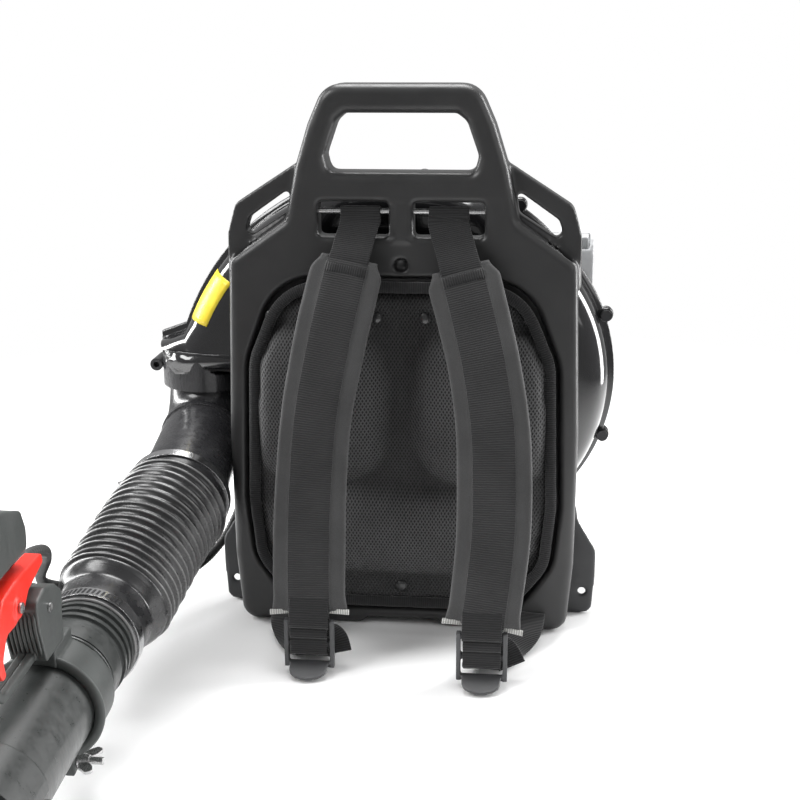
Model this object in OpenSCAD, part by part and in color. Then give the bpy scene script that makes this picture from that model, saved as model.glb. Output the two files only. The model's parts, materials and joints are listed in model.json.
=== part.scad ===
// Backpack leaf blower. Millimetres. +Z up, the wearer faces -Y.
// The origin is on the underside of the base tray, on the mid plane of the back frame.

/* [Back frame] */
// Height of the carry handle's top above the floor
frame_h = 526; // [522:1:532]
// Half width of the back frame at its widest
frame_half_w = 168; // [166:0.5:170]
// Wall thickness of the moulded frame
frame_wall = 4; // [3.5:0.1:4.5]
// Front face of the frame, on Y
frame_front = -100; // [-101:0.5:-99]
// Rear edge of the frame's side walls, on Y
frame_rear = -62; // [-63:0.5:-61]
// Diameter of the two steel bars that the straps hang from
strap_bar_d = 5; // [4:0.5:6]

/* [Base tray] */
// Half width of the tray
tray_half_w = 160; // [158:1:162]
// Rear edge of the tray, on Y
tray_rear = 150; // [145:1:155]
// Thickness of the tray's floor
tray_floor = 5; // [4:0.5:6]
// Outer edge of the two foot flanges, on X
flange_x = 190; // [187:1:192]
// Diameter of the hole in each foot flange
flange_hole_d = 8; // [6:0.5:9]

/* [Fan case] */
// Shaft axis, on X
shaft_x = 24; // [23:0.5:25]
// Shaft axis, on Z
shaft_z = 236; // [235:0.5:237]
// Smallest outer radius of the scroll, at the flange
scroll_r = 180; // [178:0.5:182]
// Growth of the scroll's radius per degree of turn
scroll_growth = 0.42; // [0.4:0.01:0.43]
// Outer diameter of the fan
fan_d = 290; // [280:1:295]
// Number of fan blades
fan_blades = 18; // [12:1:24]

/* [Outlet and hose] */
// Inner diameter of the outlet
outlet_d = 84; // [82:0.5:86]
// Radius of the bend in the outlet elbow
elbow_bend_r = 55; // [54:0.5:56]
// Turn of the outlet elbow, in degrees
elbow_turn = 75; // [74:0.5:76]
// Outer diameter of the bellows ridges
bellows_d = 104; // [102:0.5:105]

/* [Wand] */
// Outer diameter of the swivel pipe
pipe_d = 76; // [75:0.5:76.5]
// Wall thickness of the pipes
pipe_wall = 2.2; // [2:0.1:2.4]
// Length of the straight pipe
straight_pipe_l = 260; // [250:1:262]
// Length of the nozzle
nozzle_l = 250; // [240:1:252]
// Slope of the wand below the horizontal, in degrees
wand_slope = 4.5; // [4.3:0.1:4.6]

/* [Harness] */
// Width of the padded shoulder straps
strap_w = 66; // [62:1:68]
// Thickness of the padded shoulder straps
strap_t = 7; // [6:0.5:8]
// Width of the harness webbing
webbing_w = 38; // [36:1:40]

/* [Hidden] */
$fn = 72;

// ---------- outline helpers ----------

function unit(v) = v / norm(v);
function turn_between(a, b) = b - a > 180 ? b - a - 360 : b - a < -180 ? b - a + 360 : b - a;

// The arc that rounds corner p1 between p0 and p2 to radius r
function corner_arc(p0, p1, p2, r, n) =
    let (
        a = unit(p0 - p1), b = unit(p2 - p1), half = acos(a * b) / 2,
        c = p1 + unit(a + b) * r / sin(half),
        s = p1 + a * r / tan(half) - c, e = p1 + b * r / tan(half) - c,
        a0 = atan2(s.y, s.x), sweep = turn_between(a0, atan2(e.y, e.x))
    )
    [for (i = [0:n]) c + r * [cos(a0 + sweep * i / n), sin(a0 + sweep * i / n)]];

// An outline of [x, y, corner radius] points with its corners rounded
function rounded(ps, n = 6) =
    let (m = len(ps), flat = [for (p = ps) [p.x, p.y]])
    [for (i = [0:m - 1])
        each (ps[i][2] > 0
            ? corner_arc(flat[(i + m - 1) % m], flat[i], flat[(i + 1) % m], ps[i][2], n)
            : [flat[i]])];

// The right half of a symmetric outline, from bottom to top, with its mirror image
function both_halves(half) =
    concat(half, [for (i = [len(half) - 1:-1:0]) [-half[i].x, half[i].y, half[i][2]]]);

// Extrudes an outline drawn in X and Z from y0 to y1
module plate(y0, y1) { translate([0, y1, 0]) rotate([90, 0, 0]) linear_extrude(y1 - y0) children(); }

// A straight rod along Y from y0 to y1
module rod_y(x, z, y0, y1, d) { translate([x, y0, z]) rotate([-90, 0, 0]) cylinder(h = y1 - y0, d = d); }

// A straight rod along X from x0 to x1
module rod_x(y, z, x0, x1, d) { translate([x0, y, z]) rotate([0, 90, 0]) cylinder(h = x1 - x0, d = d); }

// ---------- sweeps for soft parts ----------

function lerp(a, b, t) = a + (b - a) * t;
function tangent(path, i) =
    unit(path[min(i + 1, len(path) - 1)] - path[max(i - 1, 0)]);

// Points on a smooth curve through the control points, n to a span
function smooth(ps, n) =
    [for (i = [0:len(ps) - 2]) for (k = [0:n - 1])
        let (
            t = k / n, a = ps[max(i - 1, 0)], b = ps[i], c = ps[i + 1], d = ps[min(i + 2, len(ps) - 1)]
        )
        b + (c - a) * t / 2 + (2 * a - 5 * b + 4 * c - d) * t * t / 2
          + (3 * b - a - 3 * c + d) * t * t * t / 2,
     ps[len(ps) - 1]];

// Triangles between rings i and i + 1 of n points; inward flips them for the inside of a hollow sweep
function ring_faces(i, n, first = 0, inward = false) =
    [for (k = [0:n - 1])
        let (a = first + i * n + k, b = first + i * n + (k + 1) % n, c = b + n, d = a + n)
        each (inward ? [[a, b, c], [a, c, d]] : [[a, c, b], [a, d, c]])];

// Faces of a closed solid sweep of m rings with n points each
function sweep_faces(m, n) = concat(
    [for (i = [0:m - 2]) each ring_faces(i, n)],
    [[for (k = [0:n - 1]) k]],
    [[for (k = [n - 1:-1:0]) (m - 1) * n + k]]);

// A flat band along a path; side is the direction of its width
module band(path, widths, t, side = [1, 0, 0]) {
    m = len(path);
    rings = [for (i = [0:m - 1])
        let (
            tg = tangent(path, i), s = unit(side - (side * tg) * tg), up = cross(tg, s),
            w = is_list(widths) ? widths[i] : widths
        )
        each [path[i] - s * w / 2 - up * t / 2, path[i] + s * w / 2 - up * t / 2,
              path[i] + s * w / 2 + up * t / 2, path[i] - s * w / 2 + up * t / 2]];
    polyhedron(rings, sweep_faces(m, 4), convexity = 6);
}

// A round cord along a path
module cord(path, d, n = 8) {
    m = len(path);
    rings = [for (i = [0:m - 1])
        let (tg = tangent(path, i), s = unit(cross(tg, [0.05, 0.1, 1])), up = cross(tg, s))
        each [for (k = [0:n - 1]) path[i] + d / 2 * (cos(360 * k / n) * s + sin(360 * k / n) * up)]];
    polyhedron(rings, sweep_faces(m, n), convexity = 6);
}

// ---------- back frame ----------

ear_z = 416;
ear_x = 158;
handle_base_x = 99;
strap_slot_x = [11.5, 77];
strap_slot_z = [388, 420];
strap_bar_z = 411;
strap_bar_y = -90;
pad_half_w = 146;
pad_top = 346;
pad_bottom = 27;

// The raised front panel, without the ears
panel = both_halves([
    [34, 6, 4], [42, 0, 4], [161, 0, 16], [frame_half_w - 1, 70, 60], [frame_half_w, 200, 60],
    [frame_half_w - 5, 365, 12], [108, 404, 10], [handle_base_x - 1, 452, 10], [86, 490, 20],
    [70, frame_h, 24]]);

// The opening in each ear
ear_slot = [[151, 381, 5], [145, 403, 5], [105, 431, 3], [108, 409, 4]];

// The handle's window, grown by g
function window(g) = both_halves([
    [67 + g, 447 - g, 8 + g], [71 + g, 462, 10 + g], [60 + g, 493 + g / 2, 12 + g], [51 + g, 500 + g, 6 + g]]);

// The recess that the pad lies in, grown by g
function recess(g) = both_halves([
    [112 + g, pad_bottom - 8 - g, 30 + g], [pad_half_w + g, 70, 40], [pad_half_w + 6 + g, 130, 60],
    [pad_half_w + 2 + g, 270, 60], [118 + g, pad_top + 4 + g, 54]]);

module strap_slots(g) {
    for (s = [-1, 1]) translate([s < 0 ? -strap_slot_x[1] : strap_slot_x[0], strap_slot_z[0]])
        translate([-g, -g])
            square([strap_slot_x[1] - strap_slot_x[0] + 2 * g, strap_slot_z[1] - strap_slot_z[0] + 2 * g]);
}

mount_spots = [[-85, 125], [125, 125], [-95, 330], [120, 322]];

module back_frame() {
    color("#3a3b3d") difference() {
        union() {
            plate(frame_front, frame_front + frame_wall)
                difference() { polygon(rounded(panel)); polygon(rounded(recess(0))); }
            plate(frame_front + frame_wall, frame_front + 36)
                difference() {
                    polygon(rounded(panel));
                    panel_inside();
                }
            // Recess: floor and rim
            plate(-90, -86) polygon(rounded(recess(4)));
            plate(frame_front, -86)
                difference() { polygon(rounded(recess(4))); polygon(rounded(recess(0))); }
            // Rim around the handle's window
            plate(frame_front, frame_front + 36)
                difference() { polygon(rounded(window(4))); polygon(rounded(window(0))); }
            // Ears, set back behind the panel
            for (s = [0, 1]) mirror([s, 0, 0]) plate(-84, -66) ear();
            // Rims around the strap slots
            plate(frame_front, -76) difference() { strap_slots(4); strap_slots(0); }
            // Ribs behind the panel
            for (z = [60, 145, 235, 300]) plate(-86, frame_rear - 2) translate([-150, z]) square([300, 3]);
            for (x = [-76, 0, 76]) plate(-86, frame_rear - 2) translate([x - 1.5, 30]) square([3, 330]);
            // Bosses for the rubber mounts
            for (p = mount_spots) rod_y(p.x, p.y, -87, frame_rear, 30);
            // Bosses for the screws from the tray
            for (x = [-125, 125]) rod_y(x, 40, -87, frame_rear, 11);
            // Boss between the strap slots, with the centre screw's seat below it
            plate(frame_front - 1.5, frame_front + 8) translate([-9, 384]) square([18, 36]);
            rod_y(0, 362, -98, -80, 20);
        }
        plate(frame_front - 5, -50) polygon(rounded(window(0)));
        plate(frame_front - 5, -50) strap_slots(0);
        rod_y(0, 362, frame_front - 5, -92, 13);
        for (x = [-125, 125]) rod_y(x, 40, -74, -40, 3.7);
        // Seats of the strap bars
        for (s = [-1, 1])
            rod_x(strap_bar_y, strap_bar_z, s < 0 ? -82 : 8, s < 0 ? -8 : 82, strap_bar_d + 0.1);
        // Holes of the pad's rivets
        for (p = rivet_spots) rod_y(p.x, p.y, -95, -80, 5.2);
    }
}

// The inside of the panel's side walls
module panel_inside() {
    polygon(rounded(both_halves([
        [40, 6 + frame_wall, 0], [157, frame_wall, 12], [frame_half_w - 1 - frame_wall, 70, 56],
        [frame_half_w - frame_wall, 200, 56], [frame_half_w - 5 - frame_wall, 369, 8],
        [105, 401, 8], [handle_base_x - 5, 450, 8], [82, 489, 18], [67, frame_h - frame_wall, 21]])));
}

module ear() {
    difference() {
        polygon(rounded([
            [frame_half_w - 1, 340, 0], [frame_half_w - 2, 388, 16], [ear_x, ear_z, 12],
            [handle_base_x, 454, 3], [90, 454, 0], [90, 398, 0], [150, 340, 0]]));
        polygon(rounded(ear_slot));
    }
}

// ---------- base tray ----------

module base_tray() {
    color("#303133") difference() {
        union() {
            translate([-tray_half_w, -61.5, 0]) cube([2 * tray_half_w, tray_rear + 61.5, tray_floor]);
            // Upstand that the back frame is screwed to
            translate([-150, -61.5, 0]) cube([300, 5, 62]);
            // Side cheeks, high at the front and low at the rear
            for (s = [0, 1]) mirror([s, 0, 0]) translate([tray_half_w - 5, 0, 0])
                rotate([90, 0, 90]) linear_extrude(5)
                    polygon(rounded([[-61.5, 0, 0], [tray_rear, 0, 0], [tray_rear, 24, 8], [10, 30, 40],
                                     [-40, 96, 12], [-61.5, 96, 0]]));
            // Foot flanges
            for (s = [0, 1]) mirror([s, 0, 0]) plate(-52, -47)
                polygon(rounded([[156, 0, 0], [flange_x - 3, 0, 10], [flange_x, 40, 20], [flange_x, 68, 16],
                                 [172, 98, 10], [168, 120, 2], [156, 120, 0]]));
            // Ribs under the fuel tank
            for (x = [-90, 0, 90]) translate([x - 2, -58, 0]) cube([4, tray_rear + 56, 9]);
            translate([-156, tray_rear - 4, 0]) cube([312, 4, 24]);
        }
        for (x = [-flange_hole_x, flange_hole_x]) rod_y(x, 24, -60, -40, flange_hole_d);
        for (x = [-125, 125]) rod_y(x, 40, -65, -50, 4.6);
    }
}
flange_hole_x = 177;

module frame_screws() {
    color("silver") for (x = [-125, 125]) {
        rod_y(x, 40, -72, -56.5, 3.6);
        rod_y(x, 40, -56.5, -53.5, 8);
    }
}

module strap_bars() {
    color("silver") for (s = [-1, 1])
        rod_x(strap_bar_y, strap_bar_z, s < 0 ? -81.5 : 8.5, s < 0 ? -8.5 : 81.5, strap_bar_d);
}

// ---------- harness ----------

rivet_spots = [[-123, 313], [120, 313], [-23, 313], [23, 313], [0, 44]];
left_strap_route = [
    [-38, -98.5, 404], [-40, -110, 392], [-44, -124, 372], [-53, -144, 330], [-61, -158, 290], [-69, -171, 240],
    [-73, -180, 190], [-75, -188, 140], [-75, -196, 90], [-74, -202, 58]];
right_strap_route = [
    [44, -98.5, 402], [49, -110, 390], [57, -126, 366], [70, -146, 325], [81, -162, 285], [90, -178, 235],
    [93, -190, 185], [93, -200, 135], [89, -209, 90], [85, -214, 56]];
strap_widths = [webbing_w, 44, strap_w, strap_w + 2, strap_w + 1, strap_w, strap_w, strap_w, strap_w - 2,
                strap_w - 2];

module back_pad() {
    color("#2c2c2d") difference() {
        union() {
            plate(-104, -90.3) polygon(rounded(recess(-3)));
            intersection() {
                union() {
                    for (s = [-1, 1]) translate([s * 77, -103, 235]) scale([1, 0.24, 1.08]) sphere(r = 64);
                    translate([0, -103, 108]) scale([1, 0.1, 0.32]) sphere(r = 132);
                }
                translate([-pad_half_w, -130, 0]) cube([2 * pad_half_w, 35, pad_top]);
            }
        }
        for (p = rivet_spots) rod_y(p.x, p.y, -125, -85, 5.6);
        for (p = rivet_spots) rod_y(p.x, p.y, -125, -102, 13);
    }
}

module pad_rivets() {
    color("#1e1e1f") for (p = rivet_spots) {
        rod_y(p.x, p.y, -102, -85, 5);
        translate([p.x, -102, p.y]) scale([1, 0.4, 1]) intersection() {
            sphere(d = 11);
            translate([-8, -16, -8]) cube([16, 16, 16]);
        }
    }
}

// A padded strap with its webbing loops: one round the strap bar, one round the buckle's top bar
module strap(route, at) {
    band(route, strap_widths, strap_t);
    translate([route[0].x - webbing_w / 2, 0, 0]) rotate([90, 0, 90]) linear_extrude(webbing_w)
        difference() {
            polygon(rounded([[-102, 400, 0], [-104, 405, 0], [-95, 416, 3], [-85, 416, 3],
                             [-85, 406, 3], [-95, 400, 1]], 3));
            translate([strap_bar_y, strap_bar_z]) circle(d = strap_bar_d + 0.6);
        }
    translate([at.x - buckle_web / 2, 0, 0]) rotate([90, 0, 90]) linear_extrude(buckle_web)
        difference() {
            polygon(rounded([[at.y - 5.6, at.z - 8, 4], [at.y + 5.6, at.z - 8, 4], [at.y + 7, at.z + 10, 0],
                             [at.y - 2, at.z + 10, 0]], 4));
            translate([at.y, buckle_pivot(at)]) circle(r = 4.4);
        }
}

module left_strap() { color("#4a4a4b") strap(left_strap_route, left_buckle_at); }
module right_strap() { color("#4a4a4b") strap(right_strap_route, right_buckle_at); }

buckle_w = 46;
buckle_h = 46;
buckle_web = 36;
left_buckle_at = [-74, -207, 52];
right_buckle_at = [85, -219, 52];
function buckle_pivot(at) = at.z - 3;

// A ladder lock: side rails, three bars and a rounded thumb tab
module buckle(at) {
    translate(at) {
        for (s = [-1, 1]) translate([s * (buckle_w / 2 - 2), 0, -buckle_h / 2])
            cube([4, 7, buckle_h], center = true);
        for (z = [-3, -23, -buckle_h + 2.5]) translate([0, 0, z]) cube([buckle_w, 5, 5], center = true);
        translate([0, -3, -buckle_h + 5]) rotate([20, 0, 0]) translate([0, -22, -1.5]) linear_extrude(3)
            polygon(rounded([[-18, 22, 0], [-17, 6, 12], [0, -3, 22], [17, 6, 12], [18, 22, 0]]));
    }
}

module left_buckle() { color("#4c4d4f") buckle(left_buckle_at); }
module right_buckle() { color("#4c4d4f") buckle(right_buckle_at); }

// The lower webbing: from the frame's foot, forward and through the buckle, with its tail
module lower_webbing(at, foot_x, tail_x) {
    band(smooth([
        [foot_x, -100.4, 20], [foot_x * 0.97, -130, 12], [(foot_x + at.x) / 2, -160, 5],
        [at.x, at.y + 17, 9], [at.x, at.y + 10, 22]], 4), webbing_w - 4, 1.6);
    band([[at.x, at.y - 5.5, 44], [at.x, at.y - 6, 34], [at.x, at.y - 5.5, 24]], webbing_w - 4, 1.6);
    band(smooth([[at.x + 8, at.y + 14, 40], [at.x + 18, at.y + 17, 26], [tail_x, at.y + 16, 12]], 4),
         webbing_w - 12, 1.6);
}

module left_lower_webbing() { color("#262627") lower_webbing(left_buckle_at, -112, -50); }
module right_lower_webbing() { color("#262627") lower_webbing(right_buckle_at, 124, 112); }

// ---------- fan case ----------

case_front = -46;
case_joint = 8;
case_rear = 58;
case_wall = 3;
flange_lip = 7;
outlet_x = -210;
outlet_y = 0;
outlet_bottom = 258;
collar_bottom = 224;
inlet_d = 190;
case_bosses = [20, 64, 122, 146, -20, -60, -100, -140];
engine_bolt_r = 66;
engine_leg_angles = [-10, 60, 120, 190];

// The scroll opens slowly over the top, so that the frame's handle hides it, then faster to the outlet
scroll_turn = 95;
outlet_growth = 0.81;
function scroll_radius(a) = a < 45 ? scroll_r
    : scroll_r + scroll_growth * (min(a, scroll_turn) - 45) + outlet_growth * max(0, a - scroll_turn);

// The scroll from the cut-off round to the outlet's throat, grown by g, with the throat's bottom at z
function case_outline(g, z) = concat(
    [for (a = [-175:5:170]) (scroll_radius(a) + g) * [cos(a), sin(a)] + [shaft_x, shaft_z]],
    [[outlet_x - 50 - g, 272], [outlet_x - 50 - g, z], [outlet_x + 49 - g, z]]);

module at_bosses(y0, y1, d) {
    for (a = case_bosses) translate([shaft_x, 0, shaft_z]) rotate([0, -a, 0])
        rod_y(scroll_radius(a) + 1, 0, y0, y1, d);
}

module outlet_cylinder(d, z0, z1) { translate([outlet_x, outlet_y, z0]) cylinder(h = z1 - z0, d = d); }

// The outside of one half of the case, with its flange and the screw bosses on it
module case_body(y0, y1, flange_y0, flange_y1, boss_y0, boss_y1) {
    plate(y0, y1) polygon(case_outline(-flange_lip, outlet_bottom));
    plate(flange_y0, flange_y1) polygon(case_outline(0, outlet_bottom));
    at_bosses(boss_y0, boss_y1, 14);
    // Half of the round spigot under the throat
    intersection() {
        outlet_cylinder(outlet_d + 4, collar_bottom + 4, outlet_bottom + 1);
        translate([-400, y0, 0]) cube([400, y1 - y0, 400]);
    }
}

// What is taken out of one half: the cavity, the outlet and the screw holes
module case_cavity(y0, y1) {
    plate(y0, y1) polygon(case_outline(-flange_lip - case_wall, outlet_bottom + case_wall));
    outlet_cylinder(outlet_d - 2, 200, outlet_bottom + 10);
    at_bosses(case_joint - 20, case_joint + 20, 5.2);
}

module volute_front() {
    color("#17181a") difference() {
        union() {
            case_body(case_front, case_joint, case_joint - 5, case_joint, case_joint - 7, case_joint - 0.2);
            for (p = mount_spots) rod_y(p.x, p.y, -48, -44, 34);
        }
        case_cavity(case_front + case_wall, case_joint + 1);
        rod_y(shaft_x, shaft_z, case_front - 5, case_front + 5, inlet_d);
    }
}

module volute_rear() {
    color("#17181a") difference() {
        case_body(case_joint, case_rear, case_joint, case_joint + 5, case_joint + 0.2, case_joint + 7);
        case_cavity(case_joint - 1, case_rear - case_wall);
        rod_y(shaft_x, shaft_z, case_rear - 10, case_rear + 5, 36);
        for (a = engine_leg_angles) translate([shaft_x, 0, shaft_z]) rotate([0, a, 0])
            rod_y(engine_bolt_r, 0, case_rear - 10, case_rear + 5, 6.4);
    }
}

module volute_screws() {
    color("#1b1b1c") {
        at_bosses(case_joint - 6, case_joint + 12, 5);
        at_bosses(case_joint - 13, case_joint - 7.2, 11);
    }
}

module vibration_mounts() {
    color("#202021") for (p = mount_spots) rod_y(p.x, p.y, frame_rear, -48, 26);
}

module intake_grille() {
    color("#242527") translate([shaft_x, 0, shaft_z]) {
        for (r = [36, 66, 96]) rotate([-90, 0, 0]) translate([0, 0, case_front - 4])
            rotate_extrude() translate([r, 0]) square([4, 4]);
        for (a = [0:45:315]) rotate([0, a, 0]) translate([8, case_front - 4, -1.5]) cube([90, 4, 3]);
        rod_y(0, 0, case_front - 4, case_front, 24);
    }
}

module fan_wheel() {
    color("#2a2b2d") translate([shaft_x, 0, shaft_z]) difference() {
        union() {
            rod_y(0, 0, 44, 48, fan_d);
            rod_y(0, 0, 20, 48, 34);
            for (i = [0:fan_blades - 1]) rotate([0, i * 360 / fan_blades, 0])
                translate([80, -32, 0]) rotate([0, 35, 0]) cube([56, 78, 3]);
            difference() { rod_y(0, 0, -34, -30, fan_d); rod_y(0, 0, -36, -28, 170); }
        }
        rod_y(0, 0, 10, 60, 12.1);
    }
}

// ---------- outlet elbow and hose ----------

elbow_r = 41.4;
elbow_cuff_r = 44;
elbow_cuff_at = 80;
elbow_straight = 98;
hose_start = [outlet_x, outlet_y - elbow_bend_r * (1 - cos(elbow_turn)) - elbow_straight * sin(elbow_turn),
              collar_bottom - elbow_bend_r * sin(elbow_turn) - elbow_straight * cos(elbow_turn)];
elbow_dir = [0, -sin(elbow_turn), -cos(elbow_turn)];
ring_at = [-234, -430, 81];
wand_dir = [0, -cos(wand_slope), -sin(wand_slope)];
cuff_l = 18;
pipe_start = 103;
hose_end = ring_at - (pipe_start - 4) * wand_dir;

module elbow_bend() {
    translate([outlet_x, outlet_y - elbow_bend_r, collar_bottom]) rotate([-90, 0, 90])
        rotate_extrude(angle = elbow_turn) translate([elbow_bend_r, 0])
            difference() { circle(r = elbow_r); circle(r = elbow_r - 3); }
}

// Places its children with +Z along the elbow's straight part, from the end of the bend
module at_elbow_exit(back = 0) {
    translate(hose_start - back * elbow_dir) rotate([180 - elbow_turn, 0, 0]) children();
}

module outlet_elbow() {
    color("#222325") {
        difference() {
            union() {
                outlet_cylinder(outlet_d + 11, collar_bottom, outlet_bottom - 1.5);
                rod_y(outlet_x - 52, 241, outlet_y - 16, outlet_y + 14, 13);
            }
            outlet_cylinder(outlet_d + 4.4, collar_bottom + 3, outlet_bottom + 5);
            outlet_cylinder(2 * elbow_r - 6, collar_bottom - 1, outlet_bottom);
            rod_y(outlet_x - 52, 241, outlet_y - 20, outlet_y - 8, 6);
        }
        elbow_bend();
        difference() {
            outlet_cylinder(outlet_d + 11, collar_bottom - 3, collar_bottom + 1);
            outlet_cylinder(2 * elbow_r - 3, collar_bottom - 4, collar_bottom + 2);
        }
        at_elbow_exit(elbow_straight) {
            difference() {
                union() {
                    cylinder(h = elbow_straight + cuff_l, r = elbow_r);
                    translate([0, 0, elbow_cuff_at])
                        cylinder(h = elbow_straight + cuff_l - elbow_cuff_at, r = elbow_cuff_r);
                }
                translate([0, 0, -1]) cylinder(h = elbow_straight + cuff_l + 2, r = elbow_r - 3);
            }
            difference() {
                translate([0, 0, -3]) cylinder(h = 6, r = elbow_r + 1.5);
                translate([0, 0, -4]) cylinder(h = 8, r = elbow_r - 1.5);
            }
        }
    }
}

module clamp_band(r, w, screw_a) {
    difference() {
        union() {
            cylinder(h = w, r = r + 1.2, center = true);
            rotate([0, 0, screw_a]) translate([r + 5, 0, 0]) cube([9, 16, w + 1], center = true);
            rotate([0, 0, screw_a]) translate([r + 5.5, 0, 0]) rotate([90, 0, 0])
                cylinder(h = 26, d = 7, center = true);
        }
        cylinder(h = w + 20, r = r, center = true);
    }
}

module upper_hose_clamp() {
    color("#c8c9cb") translate(hose_start + 6 * elbow_dir) rotate([180 - elbow_turn, 0, 0])
        clamp_band(48.9, 9, 180);
}

// The bellows' envelope: a hollow sweep with a cuff, a wide stretch, a cone and a second cuff
hose_route = smooth([hose_start, hose_start + 20 * elbow_dir, hose_start + 70 * elbow_dir + [-8, 0, 0],
                     hose_end + 46 * -wand_dir + [2, 0, 3], hose_end - 4 * wand_dir, hose_end + cuff_l * wand_dir], 6);

// Radii along the hose, for t from 0 at the elbow to 1 at the wand
function hose_outer(t) =
    t < 0.18 ? 48.2 : t < 0.24 ? lerp(48.2, bellows_d / 2, (t - 0.18) / 0.06) :
    t < 0.64 ? bellows_d / 2 : t < 0.78 ? lerp(bellows_d / 2, 42.2, (t - 0.64) / 0.14) : 42.2;
function hose_inner(t) = t < 0.6 ? 45.6 : t < 0.76 ? lerp(45.6, 40.2, (t - 0.6) / 0.16) : 40.2;

module bellows_hose() {
    m = len(hose_route);
    n = 16;
    function ring(i, r) =
        let (tg = tangent(hose_route, i), s = unit(cross(tg, [0, 0, 1])), up = cross(tg, s))
        [for (k = [0:n - 1]) hose_route[i] + r * (cos(360 * k / n) * s + sin(360 * k / n) * up)];
    outer = [for (i = [0:m - 1]) each ring(i, hose_outer(i / (m - 1)))];
    inner = [for (i = [0:m - 1]) each ring(i, hose_inner(i / (m - 1)))];
    o = m * n;
    e = (m - 1) * n;
    faces = concat(
        [for (i = [0:m - 2]) each ring_faces(i, n)],
        [for (i = [0:m - 2]) each ring_faces(i, n, o, true)],
        [for (k = [0:n - 1]) let (j = (k + 1) % n) each [[k, j, o + j], [k, o + j, o + k]]],
        [for (k = [0:n - 1]) let (j = (k + 1) % n) each [[e + k, o + e + k, o + e + j], [e + k, o + e + j, e + j]]]);
    color("#1d1e1f") polyhedron(concat(outer, inner), faces, convexity = 12);
}

// ---------- wand; its own frame has the pipe's axis along Y and the handle on +Z ----------

module on_wand() { translate(ring_at) rotate([wand_slope, 0, 0]) children(); }

module tube_y(y0, y1, r, wall) {
    difference() { rod_y(0, 0, y0, y1, 2 * r); rod_y(0, 0, y0 - 1, y1 + 1, 2 * (r - wall)); }
}

module lower_hose_clamp() {
    color("#c8c9cb") on_wand() translate([0, 92, 0]) rotate([90, 0, 0]) clamp_band(42.6, 12, 215);
}

swivel_end = -150;
straight_start = -118;
straight_r = pipe_d / 2 - 1;
nozzle_r = 32;
straight_end = straight_start - straight_pipe_l;
nozzle_start = straight_end + 32;

module swivel_pipe() {
    color("#2b2c2e") on_wand() {
        tube_y(swivel_end, pipe_start, pipe_d / 2, pipe_wall);
        for (y = [76, 67, 58]) tube_y(y, y + 4, pipe_d / 2 + 2.5, 3);
        tube_y(30, 50, pipe_d / 2 + 1.5, 2);
        for (s = [-1, 1]) translate([s * (pipe_d / 2 + 0.5), -136, 0]) rotate([0, 90, 0])
            cylinder(h = 3, d = 7, center = true);
    }
}

module straight_pipe() {
    color("#2b2c2e") on_wand() difference() {
        union() {
            tube_y(straight_start - 45, straight_start, pipe_d / 2 + 3.2, 3);
            tube_y(straight_end, straight_start - 40, straight_r, pipe_wall);
            tube_y(straight_start - 45, straight_start - 36, pipe_d / 2 + 3.2, 8);
        }
        translate([0, -136, 0]) cube([100, 8, 8], center = true);
        translate([0, -127, 0]) cube([100, 20, 8], center = true);
    }
}

module nozzle() {
    mouth = nozzle_start - nozzle_l;
    color("#2b2c2e") on_wand() difference() {
        union() {
            rod_y(0, 0, nozzle_start - 40, nozzle_start, 2 * straight_r + 5);
            translate([0, nozzle_start - 40, 0]) rotate([90, 0, 0])
                cylinder(h = nozzle_l - 40, r1 = straight_r + 1, r2 = nozzle_r);
        }
        rod_y(0, 0, nozzle_start - 36, nozzle_start + 1, 2 * straight_r + 0.4);
        translate([0, nozzle_start - 35, 0]) rotate([90, 0, 0])
            cylinder(h = nozzle_l - 34, r1 = straight_r - 2, r2 = nozzle_r - 2.5);
    }
}

saddle_len = 34;
lug_z = -62;

module handle_saddle() {
    color("#333435") on_wand() difference() {
        union() {
            rod_y(0, 0, -saddle_len / 2 + 3, saddle_len / 2 + 3, pipe_d + 11);
            translate([-13, -saddle_len / 2, 30]) cube([26, saddle_len + 3, 21.6]);
            translate([0, -12, lug_z]) cube([16, 24, 40]);
        }
        rod_y(0, 0, -60, 60, pipe_d + 0.3);
        translate([7, -40, lug_z - 5]) cube([2, 80, 40]);
        rod_x(-1, -54, -10, 40, 6.4);
    }
}

module saddle_bolt() {
    color("silver") on_wand() {
        rod_x(-1, -54, -4.8, 36, 6);
        translate([-4.8, -1, -54]) rotate([0, 90, 0]) cylinder(h = 4.6, d = 10, $fn = 6);
    }
}

module wing_nut() {
    color("silver") on_wand() translate([16.4, -1, -54]) difference() {
        union() {
            rotate([0, 90, 0]) cylinder(h = 9, d1 = 12, d2 = 9);
            for (s = [0, 1]) mirror([0, s, 0]) translate([0, 0, -1.2]) linear_extrude(2.4)
                polygon(rounded([[1, 3, 0], [3, 11, 3], [10, 17, 2], [16, 15, 3], [13, 8, 4], [8, 3, 0]], 3));
        }
        rotate([0, 90, 0]) translate([0, 0, -1]) cylinder(h = 30, d = 6.1);
    }
}

// Side views in Y and Z of the wand's frame: the grip, the head above the trigger, and the neck between them
grip_outline = [[-34, 52, 3], [3, 52, 4], [4, 74, 16], [9, 88, 8], [-4, 101, 5], [-24, 108, 6], [-43, 104, 6],
                [-42, 84, 20]];
head_outline = [[-27, 141, 3], [-25, 156, 8], [-31, 172, 7], [-60, 184, 16], [-104, 192, 14], [-122, 178, 10],
                [-120, 146, 8], [-106, 141, 4]];
neck_outline = [[-27, 100, 0], [-27, 150, 0], [-72, 150, 0], [-72, 112, 6], [-60, 102, 6], [-44, 98, 0]];
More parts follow.
